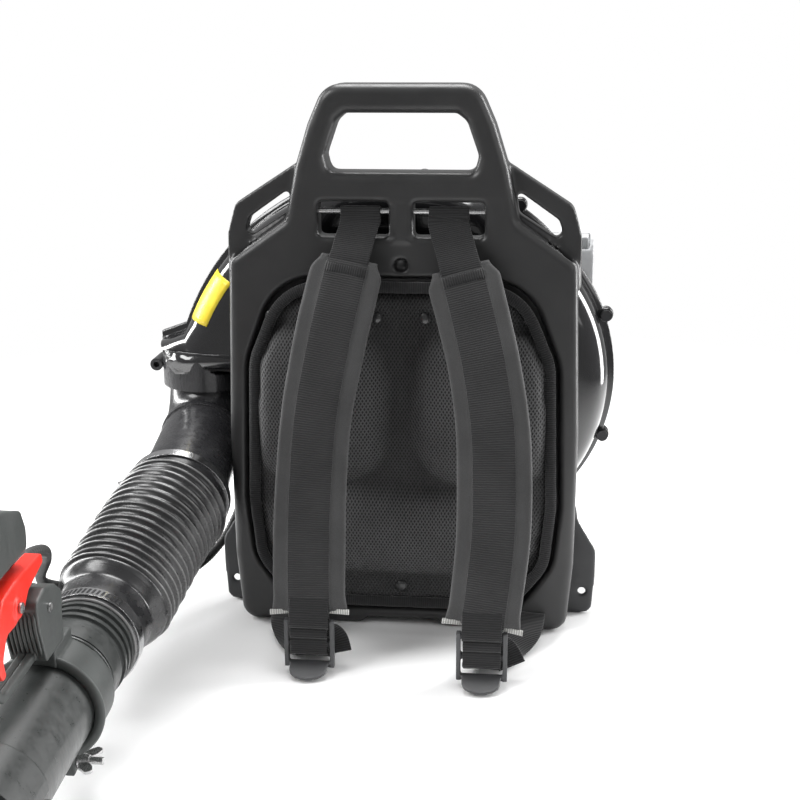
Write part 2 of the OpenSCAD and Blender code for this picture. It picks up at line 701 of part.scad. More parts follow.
// The finger guard, a loop from the grip's foot to the head
guard_outer = [[-28, 54, 0], [-96, 54, 16], [-122, 84, 24], [-124, 160, 4], [-112, 160, 0], [-28, 160, 0]];
guard_inner = [[-20, 61, 0], [-94, 61, 12], [-114, 88, 20], [-116, 170, 0], [-20, 170, 0]];
trigger_pivot = [-62, 112];
trigger_x = [-4, 9];

// Extrudes an outline drawn in Y and Z from x0 to x1
module side_plate(x0, x1) { translate([x0, 0, 0]) rotate([90, 0, 90]) linear_extrude(x1 - x0) children(); }

module grip_side(x0, x1, head_x0, head_x1) {
    difference() {
        union() {
            side_plate(x0, x1) polygon(rounded(grip_outline));
            side_plate(head_x0, head_x1) polygon(rounded(head_outline));
            side_plate(max(x0, -6), min(x1, 6)) difference() {
                polygon(rounded(guard_outer));
                polygon(rounded(guard_inner));
            }
            // The neck runs beside the trigger, on the left
            if (head_x0 < trigger_x[0] - 1)
                side_plate(head_x0, trigger_x[0] - 1) polygon(rounded(neck_outline));
        }
        rod_x(trigger_pivot.x, trigger_pivot.y, -20, 20, 5.2);
        rod_x(-20, 90, -30, 30, 4.2);
        rod_x(-100, 168, -30, 30, 4.2);
    }
}

module grip_left_shell() {
    color("#3b3d3c") on_wand() difference() {
        grip_side(-14, -0.05, -16, -0.05);
        rod_x(cruise_pivot.x, cruise_pivot.y, -20, -8, 5.1);
    }
}

module grip_right_shell() { color("#3b3d3c") on_wand() grip_side(0.05, 14, 0.05, 6); }

module grip_screws() {
    color("silver") on_wand() {
        rod_x(-20, 90, -14, 14, 4);
        rod_x(-100, 168, -16, 6, 4);
        for (p = [[-20, 90, 14], [-100, 168, 6]]) rod_x(p.x, p.y, p.z, p.z + 1.5, 7);
        rod_x(trigger_pivot.x, trigger_pivot.y, -16, trigger_x[1] + 1.9, 5);
        rod_x(trigger_pivot.x, trigger_pivot.y, trigger_x[1] + 1.9, trigger_x[1] + 3.4, 8);
    }
}

// A lever across the neck: a thumb tab behind the pivot and a finger blade in front
module throttle_trigger() {
    color("#e8231c") on_wand() difference() {
        union() {
            side_plate(trigger_x[0], trigger_x[1]) polygon(rounded([
                [-10, 129, 3], [-9, 121, 3], [-40, 114, 8], [-50, 105, 4], [-68, 101, 8], [-84, 102, 8],
                [-95, 88, 10], [-92, 75, 3], [-99, 75, 3], [-108, 90, 12], [-104, 112, 10], [-86, 129, 12],
                [-60, 131.5, 6]]));
            rod_x(trigger_pivot.x, trigger_pivot.y, trigger_x[0], trigger_x[1] + 1.5, 16);
        }
        rod_x(trigger_pivot.x, trigger_pivot.y, -10, 30, 5.1);
    }
}

cruise_pivot = [-66, 160];

module cruise_lever() {
    color("#e8231c") on_wand() {
        rod_x(cruise_pivot.x, cruise_pivot.y, -21, -16.3, 20);
        rod_x(cruise_pivot.x, cruise_pivot.y, -17, -9, 5);
        side_plate(-21, -16.3) polygon(rounded([[-66, 151, 0], [-66, 169, 0], [-34, 178, 4], [-32, 168, 4]]));
    }
}

module stop_switch() {
    color("#e8231c") on_wand() translate([-5, 0, 0]) side_plate(-4, 4)
        polygon(rounded([[-94, 190.6, 0], [-82, 188.4, 0], [-82, 192, 1], [-86, 193, 1], [-89, 196, 1],
                         [-94, 195, 1]], 3));
}

// The throttle cable in its corrugated sleeve, from the grip's head under the hose to the carburetor
conduit_route = [
    [-244.5, -464, 197], [-244, -450, 199], [-243, -430, 199], [-246, -395, 188], [-264, -345, 160], [-291, -290, 116],
    [-288, -215, 78], [-258, -150, 50], [-222, -95, 44], [-200, -40, 52], [-184, 0, 84], [-172, 50, 140],
    [-136, 72, 200], [-76, 70, 250], [-54, 68, 276], [-47, 70, 300], [-44, 80, 309], [-44, 97.2, 310]];
conduit_d = 9;

module throttle_conduit() { color("#2a2b2c") cord(smooth(conduit_route, 4), conduit_d, 8); }

// ---------- engine ----------

crank_y = 118;
web_y = [104, 122];
cylinder_base = shaft_z + 46;
head_top = shaft_z + 120;
bore_d = 43.1;
plug_lean = 16;

module at_shaft() { translate([shaft_x, 0, shaft_z]) children(); }
module engine_legs(y0, y1, d) {
    at_shaft() for (a = engine_leg_angles) rotate([0, a, 0]) rod_y(engine_bolt_r, 0, y0, y1, d);
}

module crankcase() {
    color("#9a9c9e") difference() {
        union() {
            at_shaft() rod_y(0, 0, 84, 150, 96);
            engine_legs(case_rear, 92, 16);
            at_shaft() rod_y(0, 0, 84, 90, 142);
            translate([shaft_x - 34, 88, shaft_z]) cube([68, 58, 50]);
        }
        at_shaft() {
            rod_y(0, 0, 100, 135, 66);
            rod_y(0, 0, 88, 101, 35);
            rod_y(0, 0, 134, 146, 35);
            rod_y(0, 0, 80, 155, 20);
            translate([0, crank_y, 20]) cylinder(h = 40, d = bore_d);
        }
        engine_legs(case_rear - 5, 100, 5.5);
        // Room for the silencer's guard above the mounting disc, and the cylinder's seat
        translate([shaft_x - 80, 83, 261]) cube([160, 7, 60]);
        translate([shaft_x - 80, 83, cylinder_base]) cube([160, 80, 40]);
    }
}

module crankshaft() {
    color("silver") at_shaft() {
        rod_y(0, 0, 22, 80, 12);
        rod_y(0, 0, 80, web_y[0] + 1, 15);
        rod_y(0, 0, 130, 168, 15);
        rod_y(0, 0, web_y[0], web_y[0] + 9.5, 60);
        rod_y(0, 0, web_y[1], web_y[1] + 9.5, 60);
    }
}

module main_bearings() {
    color("silver") at_shaft() for (y = [89, 134.5]) difference() {
        rod_y(0, 0, y, y + 10.5, 34.9);
        rod_y(0, 0, y - 1, y + 12, 15.1);
    }
}

crank_r = 16;
rod_l = 62;

module connecting_rod() {
    color("silver") at_shaft() {
        rod_y(0, crank_r, 114, 121.5, 26);
        difference() {
            translate([-5, 115, crank_r]) cube([10, 5.5, rod_l]);
            rod_y(0, crank_r + rod_l, 100, 130, 10.1);
        }
        difference() { rod_y(0, crank_r + rod_l, 114, 121.5, 17); rod_y(0, crank_r + rod_l, 110, 130, 10.1); }
    }
}

module piston() {
    color("#b5b7b9") translate([shaft_x, crank_y, shaft_z + crank_r + rod_l]) {
        difference() {
            translate([0, 0, -17]) cylinder(h = 35, d = bore_d - 0.1);
            translate([0, 0, -18]) cylinder(h = 31, d = 35);
        }
        rod_y(0, 0, -19, 19, 10);
    }
}

module engine_cylinder() {
    color("#a8aaac") difference() {
        union() {
            translate([shaft_x, crank_y, cylinder_base]) cylinder(h = head_top - cylinder_base, d = 58);
            for (z = [cylinder_base + 12:8:head_top - 2])
                translate([shaft_x - 40, crank_y - 34, z]) cube([80, 65, 2.4]);
            translate([shaft_x - 34, crank_y - 28, cylinder_base]) cube([68, 56, 5]);
            rod_x(crank_y, cylinder_base + 28, shaft_x - 44, shaft_x + 46, 32);
        }
        translate([shaft_x, crank_y, cylinder_base - 1]) cylinder(h = head_top - cylinder_base - 9, d = bore_d);
        rod_x(crank_y, cylinder_base + 28, shaft_x - 60, shaft_x + 60, 20);
        at_plug() translate([0, 0, -14]) cylinder(h = 60, d = 12.1);
        at_plug() translate([0, 0, 0]) cylinder(h = 40, d = 24);
    }
}

module at_plug() { translate([shaft_x - 3, crank_y, head_top - 2]) rotate([0, -plug_lean, 0]) children(); }

module spark_plug() {
    color("#e9e9e6") at_plug() {
        translate([0, 0, -11]) cylinder(h = 12, d = 12);
        cylinder(h = 9, d = 21, $fn = 6);
        translate([0, 0, 9]) cylinder(h = 28, d = 9);
        translate([0, 0, 37]) cylinder(h = 8, d = 6);
    }
}

module plug_cap() {
    color("#c9cacc") {
        at_plug() difference() {
            union() {
                translate([0, 0, 22]) cylinder(h = 46, d = 18);
                translate([0, 0, 68]) intersection() {
                    sphere(d = 18);
                    translate([-10, -10, 0]) cube([20, 20, 10]);
                }
            }
            translate([0, 0, 21]) cylinder(h = 17, d = 9.4);
            translate([0, 0, 36]) cylinder(h = 10, d = 6.4);
        }
        cord(smooth([[5, 114, 404], [8, 98, 408], [14, 80, 396], [20, 72, 366], [24, 71, 334], [24, 70, 311.2]], 4), 6);
    }
}

module flywheel() {
    color("#8e9092") at_shaft() difference() {
        union() {
            rod_y(0, 0, 62, 74, 98);
            rod_y(0, 0, 60, 79, 30);
            for (i = [0:11]) rotate([0, i * 30, 0]) translate([20, 73, -1.2]) cube([26, 6, 2.4]);
        }
        rod_y(0, 0, 55, 82, 12.1);
    }
}

module ignition_coil() {
    color("#3a3f4a") translate([shaft_x, 0, shaft_z + 50]) {
        translate([-20, 62, 0]) cube([40, 12, 9]);
        translate([-11, 60, 9]) cube([22, 20, 16]);
    }
}

carb_x = [-66, -20.4];
carb_z = cylinder_base + 28;

module carburetor() {
    color("#a2a4a6") difference() {
        union() {
            translate([carb_x[0], crank_y - 20, carb_z - 18]) cube([carb_x[1] - carb_x[0], 40, 36]);
            translate([-52, crank_y, carb_z - 26]) cylinder(h = 9, d = 27);
        }
        rod_x(crank_y, carb_z, -80, 0, 18);
        translate([-52, crank_y, carb_z - 27]) cylinder(h = 6, d = 21);
    }
}

module air_filter_base() {
    color("#2a2b2c") difference() {
        translate([-72, crank_y - 40, carb_z - 42]) cube([5.8, 80, 84]);
        rod_x(crank_y, carb_z, -80, -60, 18);
    }
}

module air_filter_element() {
    color("#6f6a4e") translate([-92, crank_y - 34, carb_z - 36]) cube([19.8, 68, 72]);
}

module air_filter_cover() {
    color("#222324") difference() {
        translate([-98, 0, 0]) rotate([90, 0, 90]) linear_extrude(26)
            polygon(rounded([[crank_y - 42, carb_z - 44, 10], [crank_y + 42, carb_z - 44, 10],
                             [crank_y + 42, carb_z + 44, 10], [crank_y - 42, carb_z + 44, 10]]));
        translate([-95, crank_y - 38, carb_z - 39]) cube([24, 76, 78]);
        translate([-72.3, crank_y - 40.2, carb_z - 42.2]) cube([6, 80.4, 84.4]);
    }
}

choke_at = [-40, crank_y + 21, carb_z + 6];

module choke_lever() {
    color("#d5301f") translate(choke_at) {
        rod_y(0, 0, 0, 3, 10);
        translate([-3, 0, 0]) cube([6, 3, 26]);
        translate([-5, 0, 22]) cube([10, 9, 6]);
    }
}

primer_at = [-52, crank_y, carb_z - 25];

module primer_bulb() {
    color([0.9, 0.85, 0.7]) translate(primer_at) rotate([180, 0, 0]) {
        cylinder(h = 4, d = 19);
        translate([0, 0, 4]) scale([1, 1, 0.9]) intersection() {
            sphere(d = 19);
            translate([-10, -10, 0]) cube([20, 20, 12]);
        }
    }
}

muffler_x = [70.4, 150];

module muffler() {
    color("#77736d") difference() {
        translate([muffler_x[0], 84, 270]) rotate([90, 0, 90]) linear_extrude(muffler_x[1] - muffler_x[0])
            polygon(rounded([[0, 0, 10], [61, 0, 10], [61, 84, 10], [0, 84, 10]]));
        translate([muffler_x[0] + 2, 86, 272]) cube([muffler_x[1] - muffler_x[0] - 4, 57, 80]);
        rod_x(crank_y, cylinder_base + 28, muffler_x[0] - 1, muffler_x[0] + 4, 20);
        rod_y(120, 300, 136, 156, 16);
    }
}

module muffler_guard() {
    color("#d6d7d8") difference() {
        translate([muffler_x[0] + 6, 78, 0]) rotate([90, 0, 90]) linear_extrude(176 - muffler_x[0])
            polygon(rounded([[0, 262, 14], [72, 262, 14], [72, 368, 26], [0, 368, 26]]));
        translate([muffler_x[0], 81, 265]) cube([muffler_x[1] - muffler_x[0] + 28, 66, 100]);
        for (z = [280:10:350]) translate([110, 144, z]) cube([60, 20, 5]);
        for (z = [280:10:350]) translate([170, 90, z]) cube([30, 46, 5]);
    }
}

recoil_y = [150.4, 186];
reel_y = [160, 172];
rope_r = 34;
rope_d = 4;
rope_z = shaft_z - rope_r;
grip_x0 = 118;

module recoil_housing() {
    color("#242526") difference() {
        union() {
            at_shaft() rod_y(0, 0, recoil_y[0], recoil_y[1], 150);
            translate([shaft_x + 50, recoil_y[0] + 6, rope_z - 10]) cube([40, 24, 20]);
        }
        at_shaft() rod_y(0, 0, recoil_y[0] - 1, recoil_y[1] - 4, 140);
        at_shaft() for (a = [0:30:330]) rotate([0, a, 0]) translate([24, recoil_y[1] - 6, -3]) cube([34, 10, 6]);
        rod_x(reel_y[0] + 6, rope_z, shaft_x + 30, shaft_x + 95, 8);
    }
}

module starter_reel() {
    color("#e6e2d8") at_shaft() difference() {
        union() {
            rod_y(0, 0, reel_y[0], reel_y[0] + 3, 90);
            rod_y(0, 0, reel_y[1] - 3, reel_y[1], 90);
            rod_y(0, 0, reel_y[0], reel_y[1], 2 * rope_r - rope_d - 0.6);
            rod_y(0, 0, reel_y[1], reel_y[1] + 6, 26);
        }
        rod_y(0, 0, reel_y[0] - 1, reel_y[1] + 7, 15.3);
    }
}

module starter_rope() {
    color("#e8e4dc") rod_x(reel_y[0] + 6, rope_z, shaft_x + 2, grip_x0, rope_d);
}

module starter_grip() {
    color("#1e1f20") difference() {
        union() {
            rod_x(reel_y[0] + 6, rope_z, grip_x0 - 3, grip_x0 + 12, 14);
            rod_y(grip_x0 + 10, rope_z, reel_y[0] - 36, reel_y[0] + 46, 20);
        }
        rod_x(reel_y[0] + 6, rope_z, grip_x0 - 10, grip_x0 + 0.4, rope_d + 0.8);
    }
}

tank_x = [-112, 128];
tank_y = [64, 144];
tank_z = [9.5, 120];
cap_at = [-78, 104];

module fuel_tank() {
    color([0.93, 0.93, 0.9]) difference() {
        union() {
            translate([tank_x[0], 0, 0]) rotate([90, 0, 90]) linear_extrude(tank_x[1] - tank_x[0])
                polygon(rounded([[tank_y[0], tank_z[0], 12], [tank_y[1], tank_z[0], 12],
                                 [tank_y[1], tank_z[1], 16], [tank_y[0], tank_z[1], 16]]));
            translate([cap_at.x, cap_at.y, tank_z[1] - 2]) cylinder(h = 14, d = 34);
        }
        translate([tank_x[0] + 3, 0, 0]) rotate([90, 0, 90]) linear_extrude(tank_x[1] - tank_x[0] - 6)
            polygon(rounded([[tank_y[0] + 3, tank_z[0] + 3, 10], [tank_y[1] - 3, tank_z[0] + 3, 10],
                             [tank_y[1] - 3, tank_z[1] - 3, 14], [tank_y[0] + 3, tank_z[1] - 3, 14]]));
        translate([cap_at.x, cap_at.y, tank_z[1] - 10]) cylinder(h = 30, d = 28);
    }
}

module fuel_cap() {
    color("#161718") translate([cap_at.x, cap_at.y, tank_z[1] + 2]) difference() {
        union() {
            cylinder(h = 18, d = 42);
            for (i = [0:23]) rotate([0, 0, i * 15]) translate([20.6, 0, 0]) cylinder(h = 18, d = 2.6);
        }
        translate([0, 0, -1]) cylinder(h = 15, d = 34.8);
    }
}

module fuel_lines() {
    color([0.85, 0.8, 0.6]) {
        cord(smooth([[-20, 100, tank_z[1] + 0.2], [-20, 99, 140], [-40, 97, 220], [-34, 103, 270],
                     [-32, 104, carb_z - 18.3]], 4), 6);
        cord(smooth([[-34, 112, tank_z[1] + 0.2], [-34, 113, 140], [-42, 126, 220], [-31, 130, 270],
                     [-30, 130, carb_z - 18.3]], 4), 6);
    }
}

back_frame();
base_tray();
frame_screws();
strap_bars();
back_pad();
pad_rivets();
left_strap();
right_strap();
left_buckle();
right_buckle();
left_lower_webbing();
right_lower_webbing();
vibration_mounts();
intake_grille();
volute_front();
volute_rear();
volute_screws();
fan_wheel();
outlet_elbow();
upper_hose_clamp();
bellows_hose();
lower_hose_clamp();
swivel_pipe();
straight_pipe();
nozzle();
handle_saddle();
saddle_bolt();
wing_nut();
grip_left_shell();
grip_right_shell();
grip_screws();
throttle_trigger();
cruise_lever();
stop_switch();
throttle_conduit();
crankcase();
crankshaft();
main_bearings();
connecting_rod();
piston();
engine_cylinder();
spark_plug();
plug_cap();
flywheel();
ignition_coil();
carburetor();
air_filter_base();
air_filter_element();
air_filter_cover();
choke_lever();
primer_bulb();
muffler();
muffler_guard();
recoil_housing();
starter_reel();
starter_grip();
starter_rope();
fuel_tank();
fuel_cap();
fuel_lines();
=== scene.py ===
"""A backpack leaf blower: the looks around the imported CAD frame, in metres, +Z up, front towards -Y."""
import json
import math

import bmesh
import bpy
import numpy as np
from mathutils import Euler, Matrix, Vector
from mathutils.kdtree import KDTree

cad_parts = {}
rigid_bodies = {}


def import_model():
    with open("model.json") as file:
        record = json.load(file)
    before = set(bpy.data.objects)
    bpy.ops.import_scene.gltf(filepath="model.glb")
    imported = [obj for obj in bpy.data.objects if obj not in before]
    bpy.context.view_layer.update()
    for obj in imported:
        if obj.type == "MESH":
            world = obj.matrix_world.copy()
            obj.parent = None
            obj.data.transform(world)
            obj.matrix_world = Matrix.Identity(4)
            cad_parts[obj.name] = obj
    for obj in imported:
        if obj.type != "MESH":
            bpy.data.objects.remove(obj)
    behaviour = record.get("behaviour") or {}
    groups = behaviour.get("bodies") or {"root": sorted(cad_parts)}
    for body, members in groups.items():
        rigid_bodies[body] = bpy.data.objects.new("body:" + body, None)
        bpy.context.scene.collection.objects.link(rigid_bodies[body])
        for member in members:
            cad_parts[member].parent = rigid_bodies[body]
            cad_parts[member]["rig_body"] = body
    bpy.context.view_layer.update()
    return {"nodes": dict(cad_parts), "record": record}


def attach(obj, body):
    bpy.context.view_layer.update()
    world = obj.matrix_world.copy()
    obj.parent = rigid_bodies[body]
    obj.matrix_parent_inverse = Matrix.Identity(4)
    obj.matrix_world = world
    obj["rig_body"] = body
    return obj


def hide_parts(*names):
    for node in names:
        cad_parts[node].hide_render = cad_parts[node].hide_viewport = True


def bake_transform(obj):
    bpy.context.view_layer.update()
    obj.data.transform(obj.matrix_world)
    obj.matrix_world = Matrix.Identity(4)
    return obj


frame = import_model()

NODES = frame["nodes"]
SLOT_OF = {entry["node"]: entry["material_slot"] for entry in frame["record"]["subparts"]}

# ---------- camera ----------

CAMERA_AT = (0.1376, -1.3487, 0.5818)
CAMERA_TURN = 6.34
CAMERA_DOWN = 15.51
CAMERA_ROLL = -0.25
CAMERA_LENS = 61.78


def make_camera():
    """The camera, at the reference view's place and angle."""
    data = bpy.data.cameras.new("camera")
    data.lens = CAMERA_LENS
    data.sensor_width = 36
    data.clip_end = 50
    obj = bpy.data.objects.new("camera", data)
    bpy.context.scene.collection.objects.link(obj)
    aim = Euler((math.radians(90 - CAMERA_DOWN), 0, math.radians(CAMERA_TURN))).to_matrix()
    roll = Matrix.Rotation(math.radians(CAMERA_ROLL), 3, "Z")
    obj.matrix_world = Matrix.Translation(CAMERA_AT) @ (aim @ roll).to_4x4()
    bpy.context.scene.camera = obj


make_camera()

# ---------- points and paths ----------


def mm(x, y, z):
    """A point given in millimetres of the object's frame."""
    return Vector((x, y, z)) * 0.001


WAND_SLOPE = math.radians(4.5)
RING_AT = (-234, -430, 81)


def wand(x, y, z):
    """A point given in millimetres of the wand's own frame: its axis along Y, its handle on +Z."""
    return mm(RING_AT[0] + x,
              RING_AT[1] + y * math.cos(WAND_SLOPE) - z * math.sin(WAND_SLOPE),
              RING_AT[2] + y * math.sin(WAND_SLOPE) + z * math.cos(WAND_SLOPE))


def smooth(points, n):
    """Points on a smooth curve through the control points, n to a span."""
    out = []
    for i in range(len(points) - 1):
        a, b = points[max(i - 1, 0)], points[i]
        c, d = points[i + 1], points[min(i + 2, len(points) - 1)]
        for k in range(n):
            t = k / n
            out.append(b + (c - a) * t / 2 + (2 * a - 5 * b + 4 * c - d) * (t * t / 2)
                       + (3 * b - a - 3 * c + d) * (t ** 3 / 2))
    return out + [points[-1]]


def resample(points, step):
    """Points about step apart along a polyline, with their distances from its start."""
    array = np.array([tuple(p) for p in points])
    along = np.concatenate([[0], np.cumsum(np.linalg.norm(np.diff(array, axis=0), axis=1))])
    count = max(2, int(round(along[-1] / step)) + 1)
    at = np.linspace(0, along[-1], count)
    return [Vector([np.interp(s, along, array[:, k]) for k in range(3)]) for s in at], list(at)


def tangent(path, i):
    return (path[min(i + 1, len(path) - 1)] - path[max(i - 1, 0)]).normalized()


def band_frames(path, side=Vector((1, 0, 0))):
    """For each point of a path: the point, the direction of the band's width and its front."""
    for i, point in enumerate(path):
        along = tangent(path, i)
        across = (side - along * side.dot(along)).normalized()
        yield point, across, along.cross(across)


def corner_arc(before, at, after, radius, n):
    """The arc that rounds a corner between two neighbours."""
    a, b = (before - at).normalized(), (after - at).normalized()
    half = math.acos(max(-1, min(1, a.dot(b)))) / 2
    centre = at + (a + b).normalized() * (radius / math.sin(half))
    start = at + a * (radius / math.tan(half)) - centre
    end = at + b * (radius / math.tan(half)) - centre
    first = math.atan2(start.y, start.x)
    turn = (math.atan2(end.y, end.x) - first + math.pi) % (2 * math.pi) - math.pi
    return [centre + radius * Vector((math.cos(first + turn * i / n), math.sin(first + turn * i / n)))
            for i in range(n + 1)]


def rounded(corners, n=10):
    """An outline of (x, y, corner radius) with its corners rounded, in the corners' own unit."""
    flat = [Vector(c[:2]) for c in corners]
    out = []
    for i, corner in enumerate(corners):
        if corner[2] > 0:
            out += corner_arc(flat[i - 1], flat[i], flat[(i + 1) % len(flat)], corner[2], n)
        else:
            out.append(flat[i])
    return out


def both_halves(half):
    return half + [(-x, z, r) for x, z, r in reversed(half)]


# ---------- meshes ----------


def new_object(name, mesh):
    obj = bpy.data.objects.new(name, mesh)
    bpy.context.scene.collection.objects.link(obj)
    return obj


def build(name, verts, faces, uvs=None, flat=False):
    """A mesh object with outward normals. uvs is one (u, v) per vertex."""
    mesh = bpy.data.meshes.new(name)
    mesh.from_pydata([tuple(v) for v in verts], [], faces)
    if uvs is not None:
        layer = mesh.uv_layers.new(name="place")
        for loop in mesh.loops:
            layer.data[loop.index].uv = uvs[loop.vertex_index]
    work = bmesh.new()
    work.from_mesh(mesh)
    bmesh.ops.recalc_face_normals(work, faces=work.faces)
    work.to_mesh(mesh)
    work.free()
    mesh.polygons.foreach_set("use_smooth", [not flat] * len(mesh.polygons))
    return new_object(name, mesh)


def skin(name, rings, uv_rings=None, loop=False):
    """A closed solid through rings of points with the same count; loop joins the last ring to the first."""
    n, m = len(rings[0]), len(rings)
    verts = [p for ring in rings for p in ring]
    faces = []
    for i in range(m if loop else m - 1):
        j = (i + 1) % m
        for k in range(n):
            q = (k + 1) % n
            faces.append((i * n + k, i * n + q, j * n + q, j * n + k))
    if not loop:
        faces.append(tuple(range(n - 1, -1, -1)))
        faces.append(tuple((m - 1) * n + k for k in range(n)))
    uvs = [uv for ring in uv_rings for uv in ring] if uv_rings else None
    return build(name, verts, faces, uvs)


def evaluated_mesh(obj):
    """The mesh of an object with its modifiers applied."""
    bpy.context.view_layer.update()
    graph = bpy.context.evaluated_depsgraph_get()
    return bpy.data.meshes.new_from_object(obj.evaluated_get(graph), depsgraph=graph)


def apply_modifiers(obj):
    mesh = evaluated_mesh(obj)
    obj.modifiers.clear()
    obj.data = mesh
    return obj


def place(obj, node_or_slot, body=None, material=None):
    """Gives a piece its slot, material and body."""
    slot = SLOT_OF.get(node_or_slot, node_or_slot)
    obj.data.materials.clear()
    obj.data.materials.append(material or MATERIALS[slot])
    if body:
        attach(obj, body)
    return obj


def body_name(node):
    return NODES[node]["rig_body"]


def soften(node, voxel, rounds, material=None, name=None):
    """A moulded copy of a CAD node: its shape with soft, rounded edges. voxel is in millimetres."""
    obj = new_object(name or node + "_moulded", NODES[node].data.copy())
    work = bmesh.new()
    work.from_mesh(obj.data)
    bmesh.ops.remove_doubles(work, verts=work.verts, dist=1e-5)
    work.to_mesh(obj.data)
    work.free()
    remesh = obj.modifiers.new("remesh", "REMESH")
    remesh.mode = "VOXEL"
    remesh.voxel_size = voxel * 0.001
    remesh.use_smooth_shade = True
    relax = obj.modifiers.new("relax", "SMOOTH")
    relax.factor = 0.5
    relax.iterations = rounds
    apply_modifiers(obj)
    obj.data.polygons.foreach_set("use_smooth", [True] * len(obj.data.polygons))
    place(obj, node, body_name(node), material)
    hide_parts(node)
    return obj


def lathe_ring(name, profile, centre, axis, n=96):
    """A closed ring: profile is (radius, height along the axis) in millimetres, round a centre in metres."""
    axis = axis.normalized()
    one = axis.orthogonal().normalized()
    two = axis.cross(one)
    rings = []
    for i in range(n):
        a = 2 * math.pi * i / n
        out = one * math.cos(a) + two * math.sin(a)
        rings.append([centre + out * (r * 0.001) + axis * (h * 0.001) for r, h in profile])
    return skin(name, rings, loop=True)


def join(name, objects):
    """One object out of several."""
    work = bmesh.new()
    for obj in objects:
        obj.data.transform(obj.matrix_world)
        work.from_mesh(obj.data)
    mesh = bpy.data.meshes.new(name)
    work.to_mesh(mesh)
    work.free()
    for obj in objects:
        bpy.data.objects.remove(obj)
    mesh.polygons.foreach_set("use_smooth", [True] * len(mesh.polygons))
    return new_object(name, mesh)


# ---------- material helpers ----------


def shader(name):
    """An empty material with its tree and its Principled shader."""
    mat = bpy.data.materials.new(name)
    mat.use_nodes = True
    tree = mat.node_tree
    return mat, tree, tree.nodes["Principled BSDF"]


def add(tree, kind, values=None, **props):
    node = tree.nodes.new(kind)
    for key, value in props.items():
        setattr(node, key, value)
    for key, value in (values or {}).items():
        node.inputs[key].default_value = value
    return node


def wire(tree, a, out, b, into):
    tree.links.new(a.outputs[out], b.inputs[into])


def object_noise(tree, scale, detail=4, roughness=0.5, stretch=None):
    """A noise texture in the object's own coordinates, in features per metre."""
    coords = add(tree, "ShaderNodeTexCoord")
    noise = add(tree, "ShaderNodeTexNoise", {"Scale": scale, "Detail": detail, "Roughness": roughness})
    if stretch:
        mapping = add(tree, "ShaderNodeMapping", {"Scale": stretch})
        wire(tree, coords, "Object", mapping, "Vector")
        wire(tree, mapping, "Vector", noise, "Vector")
    else:
        wire(tree, coords, "Object", noise, "Vector")
    return noise


def spread(tree, source, out, low, high, start=0.3, end=0.7):
    """Maps a value to a range."""
    node = add(tree, "ShaderNodeMapRange",
               {"From Min": start, "From Max": end, "To Min": low, "To Max": high})
    wire(tree, source, out, node, "Value")
    return node


def two_tone(tree, source, out, dark, light, start=0.3, end=0.7):
    ramp = add(tree, "ShaderNodeValToRGB")
    ramp.color_ramp.elements[0].position = start
    ramp.color_ramp.elements[0].color = (*dark, 1)
    ramp.color_ramp.elements[1].position = end
    ramp.color_ramp.elements[1].color = (*light, 1)
    wire(tree, source, out, ramp, "Fac")
    return ramp


def tint(colour, factor):
    return tuple(min(1, c * factor) for c in colour)


def edge_wear_and_highlight(tree, bsdf, colour_node, out, light, amount):
    """Lightens the convex edges: rubbed wear on moulded plastic, and a painted highlight on the rubber's
    crests.
    """
    geometry = add(tree, "ShaderNodeNewGeometry")
    edge = spread(tree, geometry, "Pointiness", 0, amount, 0.52, 0.6)
    mix = add(tree, "ShaderNodeMixRGB")
    wire(tree, edge, "Result", mix, "Fac")
    wire(tree, colour_node, out, mix, "Color1")
    mix.inputs["Color2"].default_value = (*light, 1)
    wire(tree, mix, "Color", bsdf, "Base Color")


def bump(tree, bsdf, source, out, distance, strength=1.0, bevel=0.0):
    """Bump in metres, over softened edges where bevel is above 0."""
    node = add(tree, "ShaderNodeBump", {"Strength": strength, "Distance": distance})
    wire(tree, source, out, node, "Height")
    if bevel:
        soft = add(tree, "ShaderNodeBevel", {"Radius": bevel}, samples=4)
        wire(tree, soft, "Normal", node, "Normal")
    wire(tree, node, "Normal", bsdf, "Normal")
    return node


def moulded(name, colour, rough=0.45, grain=0.00006, grain_scale=1400, coat=0.0, wear=0.25, bevel=0.0008):
    """Injection-moulded plastic: fine spark grain, uneven sheen, slightly rubbed edges."""
    mat, tree, bsdf = shader(name)
    tone = object_noise(tree, 16, 6, 0.6)
    paint = two_tone(tree, tone, "Fac", tint(colour, 0.86), tint(colour, 1.14))
    edge_wear_and_highlight(tree, bsdf, paint, "Color", tint(colour, 2.2), wear)
    scuff = object_noise(tree, 60, 8, 0.7)
    sheen = spread(tree, scuff, "Fac", rough - 0.07, rough + 0.09)
    wire(tree, sheen, "Result", bsdf, "Roughness")
    bsdf.inputs["Coat Weight"].default_value = coat
    bsdf.inputs["Coat Roughness"].default_value = 0.08
    bump(tree, bsdf, object_noise(tree, grain_scale, 2), "Fac", grain, 0.6, bevel)
    return mat


def gloss(name, colour, rough=0.12, coat=0.6, bevel=0.0015):
    """Blow-moulded or painted gloss: faint orange peel, dust and hairline rubs in the sheen."""
    mat, tree, bsdf = shader(name)
    tone = object_noise(tree, 9, 5)
    paint = two_tone(tree, tone, "Fac", tint(colour, 0.85), tint(colour, 1.2))
    wire(tree, paint, "Color", bsdf, "Base Color")
    rubs = object_noise(tree, 130, 9, 0.75, (1, 1, 0.2))
    wire(tree, spread(tree, rubs, "Fac", rough * 0.7, rough * 1.8), "Result", bsdf, "Roughness")
    bsdf.inputs["Coat Weight"].default_value = coat
    bsdf.inputs["Coat Roughness"].default_value = 0.05
    bump(tree, bsdf, object_noise(tree, 160, 2), "Fac", 0.00008, 0.35, bevel)
    return mat


